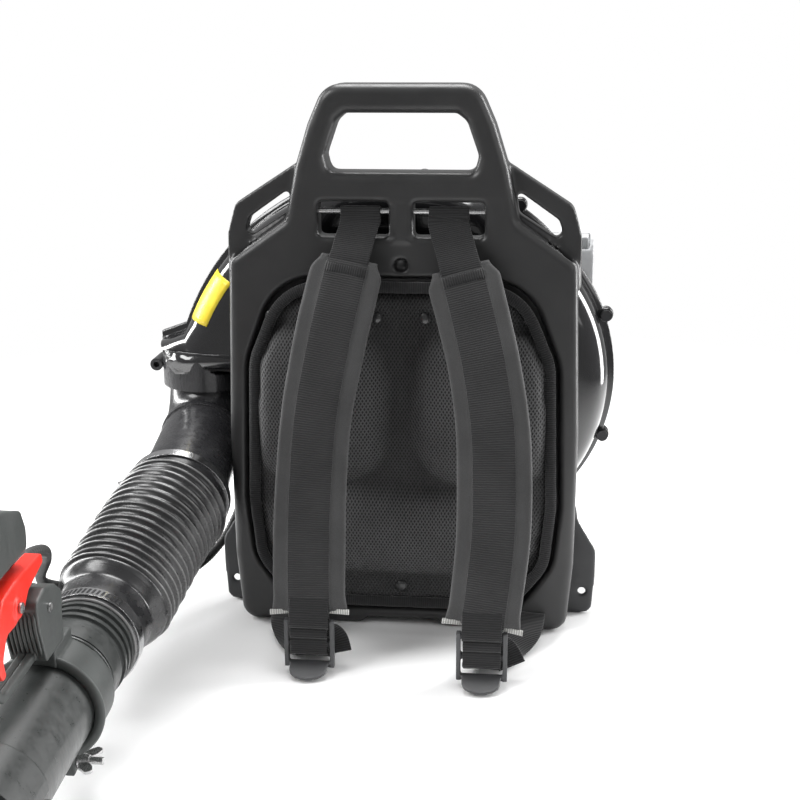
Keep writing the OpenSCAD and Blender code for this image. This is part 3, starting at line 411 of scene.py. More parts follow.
def metal(name, colour, rough=0.3, brush=(1, 1, 12), scale=300, grain=0.00003, bevel=0.0004):
    """Brushed or cast metal with streaks along one direction."""
    mat, tree, bsdf = shader(name)
    bsdf.inputs["Metallic"].default_value = 1
    streaks = object_noise(tree, scale, 6, 0.65, brush)
    paint = two_tone(tree, streaks, "Fac", tint(colour, 0.75), tint(colour, 1.1))
    wire(tree, paint, "Color", bsdf, "Base Color")
    wire(tree, spread(tree, streaks, "Fac", rough * 0.7, rough * 1.4), "Result", bsdf, "Roughness")
    bump(tree, bsdf, streaks, "Fac", grain, 0.7, bevel)
    return mat


def rubber(name, colour, rough=0.35, spec=0.5, crest=0.0):
    """Flexible rubber: fine bloom and mould marks."""
    mat, tree, bsdf = shader(name)
    bloom = object_noise(tree, 24, 6, 0.65)
    paint = two_tone(tree, bloom, "Fac", tint(colour, 0.8), tint(colour, 1.35))
    # crest above 0 lightens the convex crests: a painted highlight
    edge_wear_and_highlight(tree, bsdf, paint, "Color", (0.3, 0.3, 0.3), crest)
    wire(tree, spread(tree, object_noise(tree, 90, 6), "Fac", rough - 0.06, rough + 0.12), "Result",
         bsdf, "Roughness")
    bsdf.inputs["Specular IOR Level"].default_value = spec
    bump(tree, bsdf, object_noise(tree, 700, 3), "Fac", 0.00005, 0.5)
    return mat


def uv_parts(tree):
    """The piece's own place on the cloth: across and along, in metres."""
    coords = add(tree, "ShaderNodeTexCoord")
    parts = add(tree, "ShaderNodeSeparateXYZ")
    wire(tree, coords, "UV", parts, "Vector")
    return parts


def math_node(tree, operation, a, b=None):
    """One arithmetic step; a and b are numbers or (node, output)."""
    node = add(tree, "ShaderNodeMath", operation=operation)
    for slot, value in enumerate((a, b)):
        if value is None:
            continue
        if isinstance(value, tuple):
            tree.links.new(value[0].outputs[value[1]], node.inputs[slot])
        else:
            node.inputs[slot].default_value = value
    return (node, "Value")


def ripple(tree, source, pitch):
    """A sine of the given pitch in metres, from 0 to 1."""
    phase = math_node(tree, "MULTIPLY", source, 2 * math.pi / pitch)
    wave = math_node(tree, "SINE", phase)
    return math_node(tree, "ADD", math_node(tree, "MULTIPLY", wave, 0.5), 0.5)


WEBBING_HALF = 0.019
RIB_PITCH = 0.0021


def cloth(name, border, ribbed, rib=RIB_PITCH, all_ribbed=False):
    """Strap cloth: plain-woven borders and a ribbed webbing down the middle."""
    mat, tree, bsdf = shader(name)
    parts = uv_parts(tree)
    across, along = (parts, "X"), (parts, "Y")
    ribs = ripple(tree, along, rib)
    yarns = ripple(tree, across, 0.0009)
    weave_a = ripple(tree, math_node(tree, "ADD", across, along), 0.0011)
    weave_b = ripple(tree, math_node(tree, "SUBTRACT", across, along), 0.0011)
    plain = math_node(tree, "MULTIPLY", weave_a, weave_b)
    ribs_yarn = math_node(tree, "ADD", math_node(tree, "MULTIPLY", ribs, 0.8),
                          math_node(tree, "MULTIPLY", yarns, 0.2))
    reach = 1 if all_ribbed else WEBBING_HALF
    middle = math_node(tree, "LESS_THAN", math_node(tree, "ABSOLUTE", across), reach)
    fibre = object_noise(tree, 900, 5, 0.7)
    dust = object_noise(tree, 22, 5, 0.6)

    def woven(colour, height, floor):
        return two_tone(tree, height[0], height[1], tint(colour, floor), tint(colour, 1.2), 0.0, 1.0)

    border_paint = woven(border, plain, 0.8)
    ribbed_paint = woven(ribbed, ribs_yarn, 0.45)
    mix = add(tree, "ShaderNodeMixRGB")
    wire(tree, middle[0], "Value", mix, "Fac")
    wire(tree, border_paint, "Color", mix, "Color1")
    wire(tree, ribbed_paint, "Color", mix, "Color2")
    shade = spread(tree, dust, "Fac", 0.85, 1.15)
    fluff = spread(tree, fibre, "Fac", 0.88, 1.12)
    tone = math_node(tree, "MULTIPLY", (shade, "Result"), (fluff, "Result"))
    scale = add(tree, "ShaderNodeVectorMath", operation="SCALE")
    wire(tree, mix, "Color", scale, 0)
    wire(tree, tone[0], "Value", scale, "Scale")
    wire(tree, scale, "Vector", bsdf, "Base Color")
    height = add(tree, "ShaderNodeMixRGB")
    wire(tree, middle[0], "Value", height, "Fac")
    wire(tree, plain[0], "Value", height, "Color1")
    wire(tree, ribs_yarn[0], "Value", height, "Color2")
    bsdf.inputs["Roughness"].default_value = 0.82
    bsdf.inputs["Sheen Weight"].default_value = 0.25
    bsdf.inputs["Sheen Roughness"].default_value = 0.45
    bsdf.inputs["Specular IOR Level"].default_value = 0.25
    bump(tree, bsdf, height, "Color", 0.0005, 0.8)
    return mat


def air_mesh(name, colour, cell=0.0034):
    """Spacer mesh: a net of small diamond holes over dark foam, with painted shade that darkens the valleys
    between the lobes.
    """
    mat, tree, bsdf = shader(name)
    coords = add(tree, "ShaderNodeTexCoord")
    parts = add(tree, "ShaderNodeSeparateXYZ")
    wire(tree, coords, "Object", parts, "Vector")
    up = math_node(tree, "MULTIPLY", (parts, "Z"), 0.62)
    side = (parts, "X")
    first = ripple(tree, math_node(tree, "ADD", side, up), cell)
    second = ripple(tree, math_node(tree, "SUBTRACT", side, up), cell)
    net = math_node(tree, "MAXIMUM", first, second)
    paint = two_tone(tree, net[0], net[1], tint(colour, 0.1), tint(colour, 1.7), 0.55, 0.8)
    dust = spread(tree, object_noise(tree, 18, 5, 0.6), "Fac", 0.8, 1.2)
    # painted shade: the colour darkens towards the pad's base, in the valleys between the lobes
    painted_valley_shade = spread(tree, parts, "Y", 1.0, 0.3, -0.114, -0.1)
    tone = math_node(tree, "MULTIPLY", (dust, "Result"), (painted_valley_shade, "Result"))
    scale = add(tree, "ShaderNodeVectorMath", operation="SCALE")
    wire(tree, paint, "Color", scale, 0)
    wire(tree, tone[0], "Value", scale, "Scale")
    wire(tree, scale, "Vector", bsdf, "Base Color")
    bsdf.inputs["Roughness"].default_value = 0.75
    bsdf.inputs["Sheen Weight"].default_value = 0.2
    bsdf.inputs["Sheen Roughness"].default_value = 0.4
    bump(tree, bsdf, net[0], net[1], 0.0009, 0.9)
    return mat


def make_materials():
    """One material for each slot of the record."""
    return {
        "frame_plastic": moulded("frame_plastic", (0.028, 0.028, 0.0285), 0.36, wear=0.1),
        "tray_plastic": moulded("tray_plastic", (0.036, 0.037, 0.039), 0.45),
        "plated_steel": metal("plated_steel", (0.62, 0.62, 0.62), 0.28, (12, 1, 1)),
        "mesh_pad": air_mesh("mesh_pad", (0.05, 0.05, 0.051)),
        "rivet_plastic": gloss("rivet_plastic", (0.02, 0.02, 0.021), 0.25),
        "strap_fabric": cloth("strap_fabric", (0.075, 0.075, 0.076), (0.04, 0.04, 0.041)),
        "webbing": cloth("webbing", (0.03, 0.03, 0.031), (0.026, 0.026, 0.027), all_ribbed=True),
        "buckle_plastic": moulded("buckle_plastic", (0.06, 0.061, 0.064), 0.38, wear=0.35),
        "mount_rubber": rubber("mount_rubber", (0.02, 0.02, 0.02)),
        "grille_plastic": moulded("grille_plastic", (0.03, 0.03, 0.032)),
        "case_gloss": gloss("case_gloss", (0.012, 0.012, 0.013), 0.1, 0.8),
        "black_screws": metal("black_screws", (0.06, 0.06, 0.062), 0.4),
        "fan_plastic": moulded("fan_plastic", (0.04, 0.04, 0.042)),
        "elbow_plastic": gloss("elbow_plastic", (0.024, 0.024, 0.026), 0.22, 0.4),
        # the last number, 0.8, paints a highlight on the hose's convex crests
        "hose_rubber": rubber("hose_rubber", (0.016, 0.016, 0.017), 0.24, 0.7, 0.8),
        "stainless": metal("stainless", (0.8, 0.8, 0.81), 0.16, (1, 10, 1), 200),
        "pipe_plastic": gloss("pipe_plastic", (0.035, 0.038, 0.037), 0.3, 0.25),
        "grip_plastic": moulded("grip_plastic", (0.055, 0.06, 0.058), 0.42, wear=0.2),
        "red_plastic": moulded("red_plastic", (0.85, 0.025, 0.012), 0.35, wear=0.05),
        "conduit_plastic": moulded("conduit_plastic", (0.03, 0.03, 0.03), 0.5),
        "cast_aluminium": metal("cast_aluminium", (0.5, 0.51, 0.52), 0.45, (1, 1, 1), 500, 0.00012),
        "machined_steel": metal("machined_steel", (0.55, 0.55, 0.56), 0.25),
        "plug_ceramic": gloss("plug_ceramic", (0.85, 0.85, 0.82), 0.15),
        "plug_cap_metal": metal("plug_cap_metal", (0.6, 0.6, 0.62), 0.2),
        "coil_epoxy": gloss("coil_epoxy", (0.03, 0.035, 0.05), 0.3),
        "filter_plastic": moulded("filter_plastic", (0.03, 0.03, 0.032)),
        "filter_foam": rubber("filter_foam", (0.2, 0.17, 0.08), 0.9),
        "primer_rubber": rubber("primer_rubber", (0.7, 0.6, 0.35), 0.3),
        "muffler_steel": metal("muffler_steel", (0.2, 0.19, 0.18), 0.55, (1, 1, 1), 400, 0.0001),
        "guard_plastic": moulded("guard_plastic", (0.55, 0.56, 0.57), 0.4, wear=0.0),
        "recoil_plastic": moulded("recoil_plastic", (0.03, 0.03, 0.033)),
        "reel_nylon": moulded("reel_nylon", (0.6, 0.58, 0.5), wear=0.0),
        "rope_nylon": rubber("rope_nylon", (0.55, 0.53, 0.5), 0.8),
        "tank_plastic": moulded("tank_plastic", (0.62, 0.61, 0.55), 0.35, wear=0.0),
        "cap_plastic": moulded("cap_plastic", (0.02, 0.02, 0.021)),
        "fuel_line": gloss("fuel_line", (0.5, 0.4, 0.15), 0.2),
    }


MATERIALS = make_materials()

# ---------- moulded frame, tray and housings ----------


def label_material():
    """A plain yellow sticker, slightly scuffed, with no print."""
    mat, tree, bsdf = shader("sticker")
    paint = two_tone(tree, object_noise(tree, 40, 6), "Fac", (0.75, 0.55, 0.02), (0.95, 0.76, 0.05))
    wire(tree, paint, "Color", bsdf, "Base Color")
    wire(tree, spread(tree, object_noise(tree, 200, 5), "Fac", 0.25, 0.45), "Result", bsdf, "Roughness")
    return mat


PANEL = [(34, 6, 4), (42, 0, 4), (161, 0, 16), (167, 70, 60), (168, 200, 60), (163, 365, 12), (108, 404, 10),
         (98, 452, 10), (86, 490, 20), (70, 526, 24)]
WINDOW = [(67, 447, 8), (71, 462, 10), (60, 493, 12), (51, 500, 6)]
SLOT = [(11.5, 388, 5), (77, 388, 5), (77, 420, 5), (11.5, 420, 5)]
FRAME_FRONT = -100
PAD_TOP, PAD_BOTTOM = 346, 27


def recess_outline(g, n=10):
    """The pad recess's outline in X and Z, grown by g millimetres."""
    return rounded(both_halves([
        (112 + g, PAD_BOTTOM - 8 - g, 30 + g), (146 + g, 70, 40), (152 + g, 130, 60),
        (148 + g, 270, 60), (118 + g, PAD_TOP + 4 + g, 54)]), n)


def edge_samples(outline, filled):
    """Points every millimetre round an outline, each with the direction into the material."""
    closed = [Vector((p.x, p.y, 0)) for p in outline] + [Vector((outline[0].x, outline[0].y, 0))]
    points, _ = resample(closed, 1.0)
    area = sum(a.x * b.y - b.x * a.y for a, b in zip(closed, closed[1:]))
    turn = 1 if (area > 0) == filled else -1
    samples = []
    for i in range(len(points) - 1):
        along = (points[i + 1] - points[i - 1 if i else -2]).normalized()
        samples.append((points[i], Vector((-along.y, along.x)) * turn))
    return samples


def round_edge(obj, samples, front, radius):
    """Rolls the front edge along an outline to a true radius, all in millimetres."""
    tree = KDTree(len(samples))
    for i, (point, _) in enumerate(samples):
        tree.insert(point, i)
    tree.balance()
    for vertex in obj.data.vertices:
        high = vertex.co.y * 1000 - front
        if high < -2 or high > radius:
            continue
        at = Vector((vertex.co.x * 1000, vertex.co.z * 1000, 0))
        near, i, gap = tree.find(at)
        if gap > radius:
            continue
        into = samples[i][1]
        deep = (at.x - near.x) * into.x + (at.y - near.y) * into.y
        reach = Vector((deep - radius, high - radius))
        if reach.length > radius and deep > -2:
            moved = reach.normalized() * radius - reach
            vertex.co.x += into.x * moved.x * 0.001
            vertex.co.z += into.y * moved.x * 0.001
            vertex.co.y += moved.y * 0.001


def round_frame(obj):
    """Gives the frame's front its generous moulded radii."""
    round_edge(obj, edge_samples(rounded(both_halves(PANEL)), True), FRAME_FRONT, 9)
    round_edge(obj, edge_samples(rounded(both_halves(WINDOW)), False), FRAME_FRONT, 9)
    round_edge(obj, edge_samples(recess_outline(0), False), FRAME_FRONT, 5)
    for side in (-1, 1):
        round_edge(obj, edge_samples(rounded([(side * x, z, r) for x, z, r in SLOT]), False), FRAME_FRONT, 6)


def make_moulded_parts():
    """Soft-edged copies of the moulded CAD parts. The numbers are voxel size in mm and smoothing rounds."""
    for node, voxel, rounds in (
            ("back_frame", 1.9, 7), ("base_tray", 2.2, 4), ("handle_saddle", 1.1, 4),
            ("grip_left_shell", 0.9, 5), ("grip_right_shell", 0.9, 5), ("throttle_trigger", 0.8, 5),
            ("cruise_lever", 0.7, 3), ("left_buckle", 0.8, 3), ("right_buckle", 0.8, 3),
            ("muffler_guard", 1.4, 4), ("recoil_housing", 1.6, 4), ("air_filter_cover", 1.4, 5),
            ("fuel_tank", 2.0, 10), ("starter_grip", 1.0, 6), ("muffler", 1.5, 4), ("crankcase", 1.6, 3)):
        obj = soften(node, voxel, rounds)
        if node == "back_frame":
            round_frame(obj)


# ---------- fan case ----------

SHAFT = (24, 236)
SCROLL_R = 180
SCROLL_TURN = 95
SCROLL_GROWTH = (0.42, 0.81)
OUTLET_X = -210
OUTLET_BOTTOM = 258
CASE_JOINT = 8
CASE_FRONT = -46
CASE_REAR = 58
INLET_R = 95
BOSS_ANGLES = (20, 64, 122, 146, -20, -60, -100, -140)


def scroll_radius(a):
    slow = SCROLL_GROWTH[0] * (min(a, SCROLL_TURN) - 45)
    return SCROLL_R if a < 45 else SCROLL_R + slow + SCROLL_GROWTH[1] * max(0, a - SCROLL_TURN)


def case_outline():
    """The flange's outline in X and Z, in millimetres, and each point's inward direction."""
    points = []
    for a in np.arange(-175, 170.1, 2.5):
        r, turn = scroll_radius(a), math.radians(a)
        points.append(Vector((SHAFT[0] + r * math.cos(turn), SHAFT[1] + r * math.sin(turn))))
    points += [Vector((OUTLET_X - 50, 272)), Vector((OUTLET_X - 50, OUTLET_BOTTOM)),
               Vector((OUTLET_X + 49, OUTLET_BOTTOM))]
    inward = []
    for i, p in enumerate(points):
        along = (points[(i + 1) % len(points)] - points[i - 1]).normalized()
        turn = Vector((-along.y, along.x))
        if p.y == OUTLET_BOTTOM:
            turn = Vector((1 if p.x < OUTLET_X else -0.3, 0))
        inward.append(turn)
    return points, inward


def case_half(name, node, sign, face_y):
    """One half of the case: flange lip, straight wall, rounded shoulder and flat face with its opening."""
    points, inward = case_outline()
    lip, shoulder = 7.0, 34.0
    wall_y = CASE_JOINT + sign * 20
    depth = abs(face_y - wall_y)
    profile = [(10, CASE_JOINT), (0.6, CASE_JOINT), (0, CASE_JOINT + sign * 0.6), (0, CASE_JOINT + sign * 4),
               (0.8, CASE_JOINT + sign * 5), (lip - 2.5, CASE_JOINT + sign * 5.2),
               (lip - 0.6, CASE_JOINT + sign * 6.2), (lip, CASE_JOINT + sign * 8.5), (lip, wall_y)]
    for k in range(1, 13):
        a = math.pi / 2 * k / 12
        profile.append((lip + shoulder * (1 - math.cos(a)), wall_y + sign * depth * math.sin(a)))
    rings = []
    for offset, y in profile:
        rings.append([mm(p.x + d.x * offset, y, p.y + d.y * offset) for p, d in zip(points, inward)])
    last = rings[-1]
    hole_r = INLET_R if sign < 0 else 30
    for share in (0.35, 0.7, 1.0):
        ring = []
        for v in last:
            out = Vector((v.x - SHAFT[0] * 0.001, v.z - SHAFT[1] * 0.001))
            goal = out.normalized() * hole_r * 0.001
            at = out.lerp(goal, share)
            ring.append(Vector((SHAFT[0] * 0.001 + at.x, face_y * 0.001, SHAFT[1] * 0.001 + at.y)))
        rings.append(ring)
    n = len(points)
    verts = [v for ring in rings for v in ring]
    faces = [(i * n + k, i * n + (k + 1) % n, (i + 1) * n + (k + 1) % n, (i + 1) * n + k)
             for i in range(len(rings) - 1) for k in range(n)]
    obj = build(name, verts, faces)
    solid = obj.modifiers.new("wall", "SOLIDIFY")
    solid.thickness = 0.0026
    solid.offset = -1
    apply_modifiers(obj)
    bosses = [obj]
    boss_profile = [(2.6, sign * 0.3), (7, sign * 0.3), (7.2, sign * 2), (6.8, sign * 6.4),
                    (6.2, sign * 7.0), (2.6, sign * 7.0)]
    for a in BOSS_ANGLES:
        r, turn = scroll_radius(a) + 1, math.radians(a)
        centre = mm(SHAFT[0] + r * math.cos(turn), CASE_JOINT, SHAFT[1] + r * math.sin(turn))
        bosses.append(lathe_ring("boss", boss_profile, centre, Vector((0, 1, 0)), 28))
    spigot = []
    for i in range(49):
        a = math.pi * i / 48
        spigot.append((math.cos(a), sign * math.sin(a)))
    rings = []
    for r, z in ((44, 262), (44, 229), (43, 228), (41.5, 228.5), (41.5, 262)):
        rings.append([mm(OUTLET_X + r * c, r * s, z) for c, s in spigot])
    bosses.append(open_strip("spigot", rings))
    obj = join(name, bosses)
    place(obj, node, "root")
    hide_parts(node)
    return obj


def open_strip(name, rings):
    """A surface through open rows of points."""
    n = len(rings[0])
    verts = [v for ring in rings for v in ring]
    faces = [(i * n + k, i * n + k + 1, (i + 1) * n + k + 1, (i + 1) * n + k)
             for i in range(len(rings) - 1) for k in range(n - 1)]
    return build(name, verts, faces)


def make_sticker():
    """The plain sticker on the case's upper left shoulder."""
    rows = []
    for i in range(9):
        a = math.radians(154 + 13 * i / 8)
        row = []
        for k in range(9):
            turn = math.radians(8 + 62 * k / 8)
            r = scroll_radius(math.degrees(a)) - 7 + 0.35 - 34 * (1 - math.cos(turn))
            y = CASE_JOINT - 20 - (abs(CASE_FRONT - CASE_JOINT) - 20) * math.sin(turn) - 0.3
            row.append(mm(SHAFT[0] + r * math.cos(a), y, SHAFT[1] + r * math.sin(a)))
        rows.append(row)
    obj = open_strip("plain_sticker", rows)
    thick = obj.modifiers.new("film", "SOLIDIFY")
    thick.thickness = 0.0002
    apply_modifiers(obj)
    place(obj, "case_gloss", "root", label_material())


# ---------- harness ----------

LEFT_ROUTE = [(-38, -98.5, 404), (-40, -110, 392), (-44, -124, 372), (-53, -144, 330), (-61, -158, 290),
              (-69, -171, 240), (-73, -180, 190), (-75, -188, 140), (-75, -196, 90), (-74, -202, 58)]
RIGHT_ROUTE = [(44, -98.5, 402), (49, -110, 390), (57, -126, 366), (70, -146, 325), (81, -162, 285),
               (90, -178, 235), (93, -190, 185), (93, -200, 135), (89, -209, 90), (85, -214, 56)]
STRAP_T = 7.0
STRAP_W = 66.0
BAR_Y, BAR_Z = -90, 411
LEFT_BUCKLE = (-74, -207, 52)
RIGHT_BUCKLE = (85, -219, 52)


def ease(x):
    x = max(0.0, min(1.0, x))
    return x * x * (3 - 2 * x)


def strap_row(point, across, front, width, thick, along, seed):
    """One ring of a padded strap: borders, a raised ribbed webbing between two seams, and a flat back."""
    half = width / 2
    columns = [half * c for c in (-1, -0.985, -0.95, -0.88, -0.8, -0.7)]
    columns += [-19.8, -19.2, -18.4, -12, -6, 0, 6, 12, 18.4, 19.2, 19.8]
    columns += [half * c for c in (0.7, 0.8, 0.88, 0.95, 0.985, 1)]
    ring, uvs = [], []
    for a in columns:
        edge = half - abs(a)
        body = thick / 2 * math.sqrt(max(0.0, 1 - (1 - min(1, edge / 3.6)) ** 2))
        crown = 0.9 * math.cos(math.pi / 2 * min(1, abs(a) / half))
        webbing = 1.1 * ease((19.9 - abs(a)) / 1.2)
        seam = -0.7 * math.exp(-((abs(a) - 20.4) / 0.8) ** 2) - 0.6 * math.exp(-((edge - 6.5) / 0.8) ** 2)
        pucker = 0.28 * math.sin(along / 4.7 + seed + 2.1 * math.sin(along / 31)) * math.exp(-edge / 7)
        ring.append(point + across * (a * 0.001) + front * ((body + crown + webbing + seam + pucker) * 0.001))
        uvs.append((a * 0.001, along * 0.001))
    for a in reversed(columns[1:-1]):
        edge = half - abs(a)
        body = thick / 2 * math.sqrt(max(0.0, 1 - (1 - min(1, edge / 3.6)) ** 2))
        ring.append(point + across * (a * 0.001) - front * (body * 0.001))
        uvs.append((a * 0.001, along * 0.001))
    return ring, uvs


def strap_pad(name, route, seed):
    """The padded shoulder strap, from its folded top to its flared bottom."""
    path = smooth([mm(*p) for p in route[2:]], 24)
    path, along = resample(path, 0.0026)
    total = along[-1] * 1000
    rings, uv_rings = [], []
    for (point, across, front), s in zip(band_frames(path), along):
        s = s * 1000
        start, end = ease(s / 9), ease((total - s) / 6)
        width = (STRAP_W + 1.2 * math.sin(s / 37 + seed) - 14 * (1 - ease(s / 16))
                 + 3.5 * ease((s - total + 16) / 16))
        thick = STRAP_T * (0.35 + 0.65 * min(start, end))
        sway = 0.5 * math.sin(s / 23 + seed) + 0.3 * math.sin(s / 9.1 + 2 * seed)
        ring, uvs = strap_row(point + front * (sway * 0.001), across, front, width, thick, s, seed)
        rings.append(ring)
        uv_rings.append(uvs)
    obj = skin(name, rings, uv_rings)
    place(obj, "strap_fabric", "root")
    return obj


def webbing(name, path, width, thick, body=None, slot="webbing", step=0.002, side=Vector((1, 0, 0)),
            wave=0.0):
    """A flat webbing with rounded edges along a path in metres; width and thickness are in millimetres."""
    path, along = resample(path, step)
    half, t = width / 2, thick / 2
    section = [(-half, 0), (-half + 0.4, t * 0.8), (-half + 1.4, t), (-half / 2, t), (0, t), (half / 2, t),
               (half - 1.4, t), (half - 0.4, t * 0.8), (half, 0), (half - 0.4, -t * 0.8), (half - 1.4, -t),
               (half / 2, -t), (0, -t), (-half / 2, -t), (-half + 1.4, -t), (-half + 0.4, -t * 0.8)]
    rings, uv_rings = [], []
    for (point, across, front), s in zip(band_frames(path, side), along):
        lift = wave * math.sin(s * 1000 / 6.0)
        rings.append([point + across * (a * 0.001) + front * ((h + lift) * 0.001) for a, h in section])
        uv_rings.append([(a * 0.001, s) for a, h in section])
    obj = skin(name, rings, uv_rings)
    place(obj, slot, body)
    return obj


def top_webbing(name, frames, x_top):
    """The webbing from the pad's front up to the steel bar, over it and back down behind."""
    points = [frames[k][0] + frames[k][2] * 0.001 * lift for k, lift in ((16, 4.0), (9, 3.6), (0, 3.2))]
    points += [points[-1].lerp(mm(x_top, -99.5, 401), 0.5), mm(x_top, -99.5, 401), mm(x_top, -95.2, 407)]
    for k in range(7):
        a = math.radians(200 - 35 * k)
        points.append(mm(x_top, BAR_Y + 4.1 * math.cos(a), BAR_Z + 4.1 * math.sin(a)))
    points += [mm(x_top, -88, 404), mm(x_top, -93.5, 398.5)]
    return webbing(name, smooth(points, 6), 37, 1.8, "root", step=0.001)


def stitched_fold(name, path_point, across, front, up):
    """The stitched hem over the strap's top end."""
    points = [path_point + across * (s * 0.019) for s in (-1, -0.5, 0, 0.5, 1)]
    section = [(-5, 0.2), (-4.4, 1.2), (-2, 1.7), (2, 1.7), (4.4, 1.2), (5, 0.2), (3, -0.8), (-3, -0.8)]
    rings, uv_rings = [], []
    for k, p in enumerate(points):
        rings.append([p + up * (a * 0.001) + front * (h * 0.001) for a, h in section])
        uv_rings.append([(a * 0.001, k * 0.0095) for a, h in section])
    obj = skin(name, rings, uv_rings)
    place(obj, "webbing", "root")


def pale_hem(name, route):
    """The light bound edge that shows under the strap's flared bottom end."""
    path, _ = resample(smooth([mm(*p) for p in route[2:]], 24), 0.0026)
    point, across, front = list(band_frames(path))[-1]
    down = across.cross(front)
    if down.z > 0:
        down = -down
    rings, uv_rings = [], []
    for k in range(25):
        share = -1 + k / 12
        curl = 2.5 * abs(share) ** 3
        rings.append([point + across * (share * 0.0365) + down * ((a + curl * 0.3) * 0.001)
                      + front * ((h + curl) * 0.001)
                      for a, h in ((-3, 1.6), (0.6, 1.3), (1.8, 0.4), (1.8, -0.4), (0.6, -1.3), (-3, -1.6))])
        uv_rings.append([(a * 0.001, k * 0.003) for a in (-3, 0.6, 1.8, 1.8, 0.6, -3)])
    obj = skin(name, rings, uv_rings)
    place(obj, "strap_fabric", "root", cloth("hem_cloth", (0.55, 0.55, 0.53), (0.55, 0.55, 0.53)))


def make_harness():
    """Both shoulder straps, their top webbings, the loops round the buckles' bars and the strap ends."""
    for side, route, at, seed in (("left", LEFT_ROUTE, LEFT_BUCKLE, 0.4),
                                  ("right", RIGHT_ROUTE, RIGHT_BUCKLE, 2.3)):
        pad = strap_pad(side + "_shoulder_pad", route, seed)
        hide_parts(side + "_strap")
        frames = list(band_frames(smooth([mm(*p) for p in route[2:]], 24)))
        top_webbing(side + "_top_webbing", frames, route[0][0])
        point, across, front = frames[8]
        up = front.cross(across) * -1
        stitched_fold(side + "_top_hem", point + front * 0.0048, across, front, up)
        pale_hem(side + "_strap_hem", route)
        x, y, z = at
        bar_z = z - 3
        end_x, end_y, end_z = route[-1]
        loop = [mm(end_x, end_y + 1, end_z + 20), mm(x, y - 3.6, z + 8), mm(x, y - 5.2, bar_z + 2)]
        loop += [mm(x, y + 5.0 * math.cos(math.radians(a)), bar_z + 5.0 * math.sin(math.radians(a)))
                 for a in (200, 235, 270, 305, 340)]
        loop += [mm(x, y + 5.2, bar_z + 3), mm(x, y + 3.4, z + 8), mm(end_x, end_y + 4, end_z + 18)]
        webbing(side + "_buckle_loop", smooth(loop, 6), 36, 1.5, "root", step=0.001)


def lower_webbing(side, at, foot_x, tail_x):
    """The webbing from the frame's foot to the buckle, through it, and its loose tail."""
    x, y, _ = at
    bars = [mm(foot_x, -100.6, 20), mm(foot_x * 0.97, -130, 12), mm((foot_x + x) / 2, -160, 5),
            mm(x, y + 17, 9), mm(x, y + 10, 22), mm(x, y + 5.5, 29)]
    under = webbing(side + "_foot_webbing", smooth(bars, 12), 34, 1.6)
    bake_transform(under)
    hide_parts(side + "_lower_webbing")
    front = [mm(x, y + 4.8, 33), mm(x, y - 1, 35.5), mm(x, y - 4.4, 33), mm(x, y - 4.8, 27),
             mm(x, y - 4.2, 21), mm(x, y, 18.6), mm(x, y + 4.4, 21)]
    webbing(side + "_buckle_wrap", smooth(front, 8), 34, 1.6, "buckle_" + side, step=0.001)
    second = [mm(x, y + 4.4, 45), mm(x, y - 3.8, 43.2), mm(x, y - 4.9, 38), mm(x, y - 3.8, 35.4)]
    webbing(side + "_buckle_turn", smooth(second, 8), 34, 1.6, "buckle_" + side, step=0.001)
    tail = [mm(x + 4, y + 8, 42), mm(x + 12, y + 14, 37), mm(x + 20, y + 16.5, 27), mm(tail_x, y + 15.5, 13)]
    piece = webbing(side + "_webbing_tail", smooth(tail, 10), 26, 1.6, "buckle_" + side, wave=0.3)
    return piece


# ---------- back pad ----------

PAD_HALF_W = 146
PAD_BASE = -98
RIVETS = ((-123, 313), (120, 313), (-23, 313), (23, 313), (0, 44))


def inside_depth(outline, x, z):
    """The distance from a point to the outline, negative outside."""
    a = outline
    b = np.roll(outline, -1, axis=0)
    p = np.array([x, z])
    d = b - a
    t = np.clip(((p - a) * d).sum(1) / (d * d).sum(1), 0, 1)
    near = a + d * t[:, None]
    dist = np.sqrt(((p - near) ** 2).sum(1)).min()
    crossing = ((a[:, 1] > z) != (b[:, 1] > z)) & (x < (b[:, 0] - a[:, 0]) * (z - a[:, 1]) /
                                                   (b[:, 1] - a[:, 1] + 1e-9) + a[:, 0])
    return dist if crossing.sum() % 2 else -dist


def lobe(x, z, cx, cz, rx, rz, power=2.6):
    """Height share of a rounded cushion lobe, 1 at its middle and 0 at its seam."""
    d = (abs((x - cx) / rx) ** power + abs((z - cz) / rz) ** power) ** (1 / power)
    return math.sqrt(max(0.0, 1 - d ** 2.4))


def pad_height(x, z):
    """How far the pad's front stands out from its base, in millimetres."""
    upper = max(lobe(x, z, s * 80, 228, 67, 76, 3.2) for s in (-1, 1))
    lower = lobe(x, z, 0, 103, 138, 42, 3.6)
    rivet = min(math.hypot(x - px, z - pz) for px, pz in RIVETS)
    dimple = -2.4 * math.exp(-(rivet / 11) ** 2)
    return 18.0 * upper + 16.0 * lower + dimple


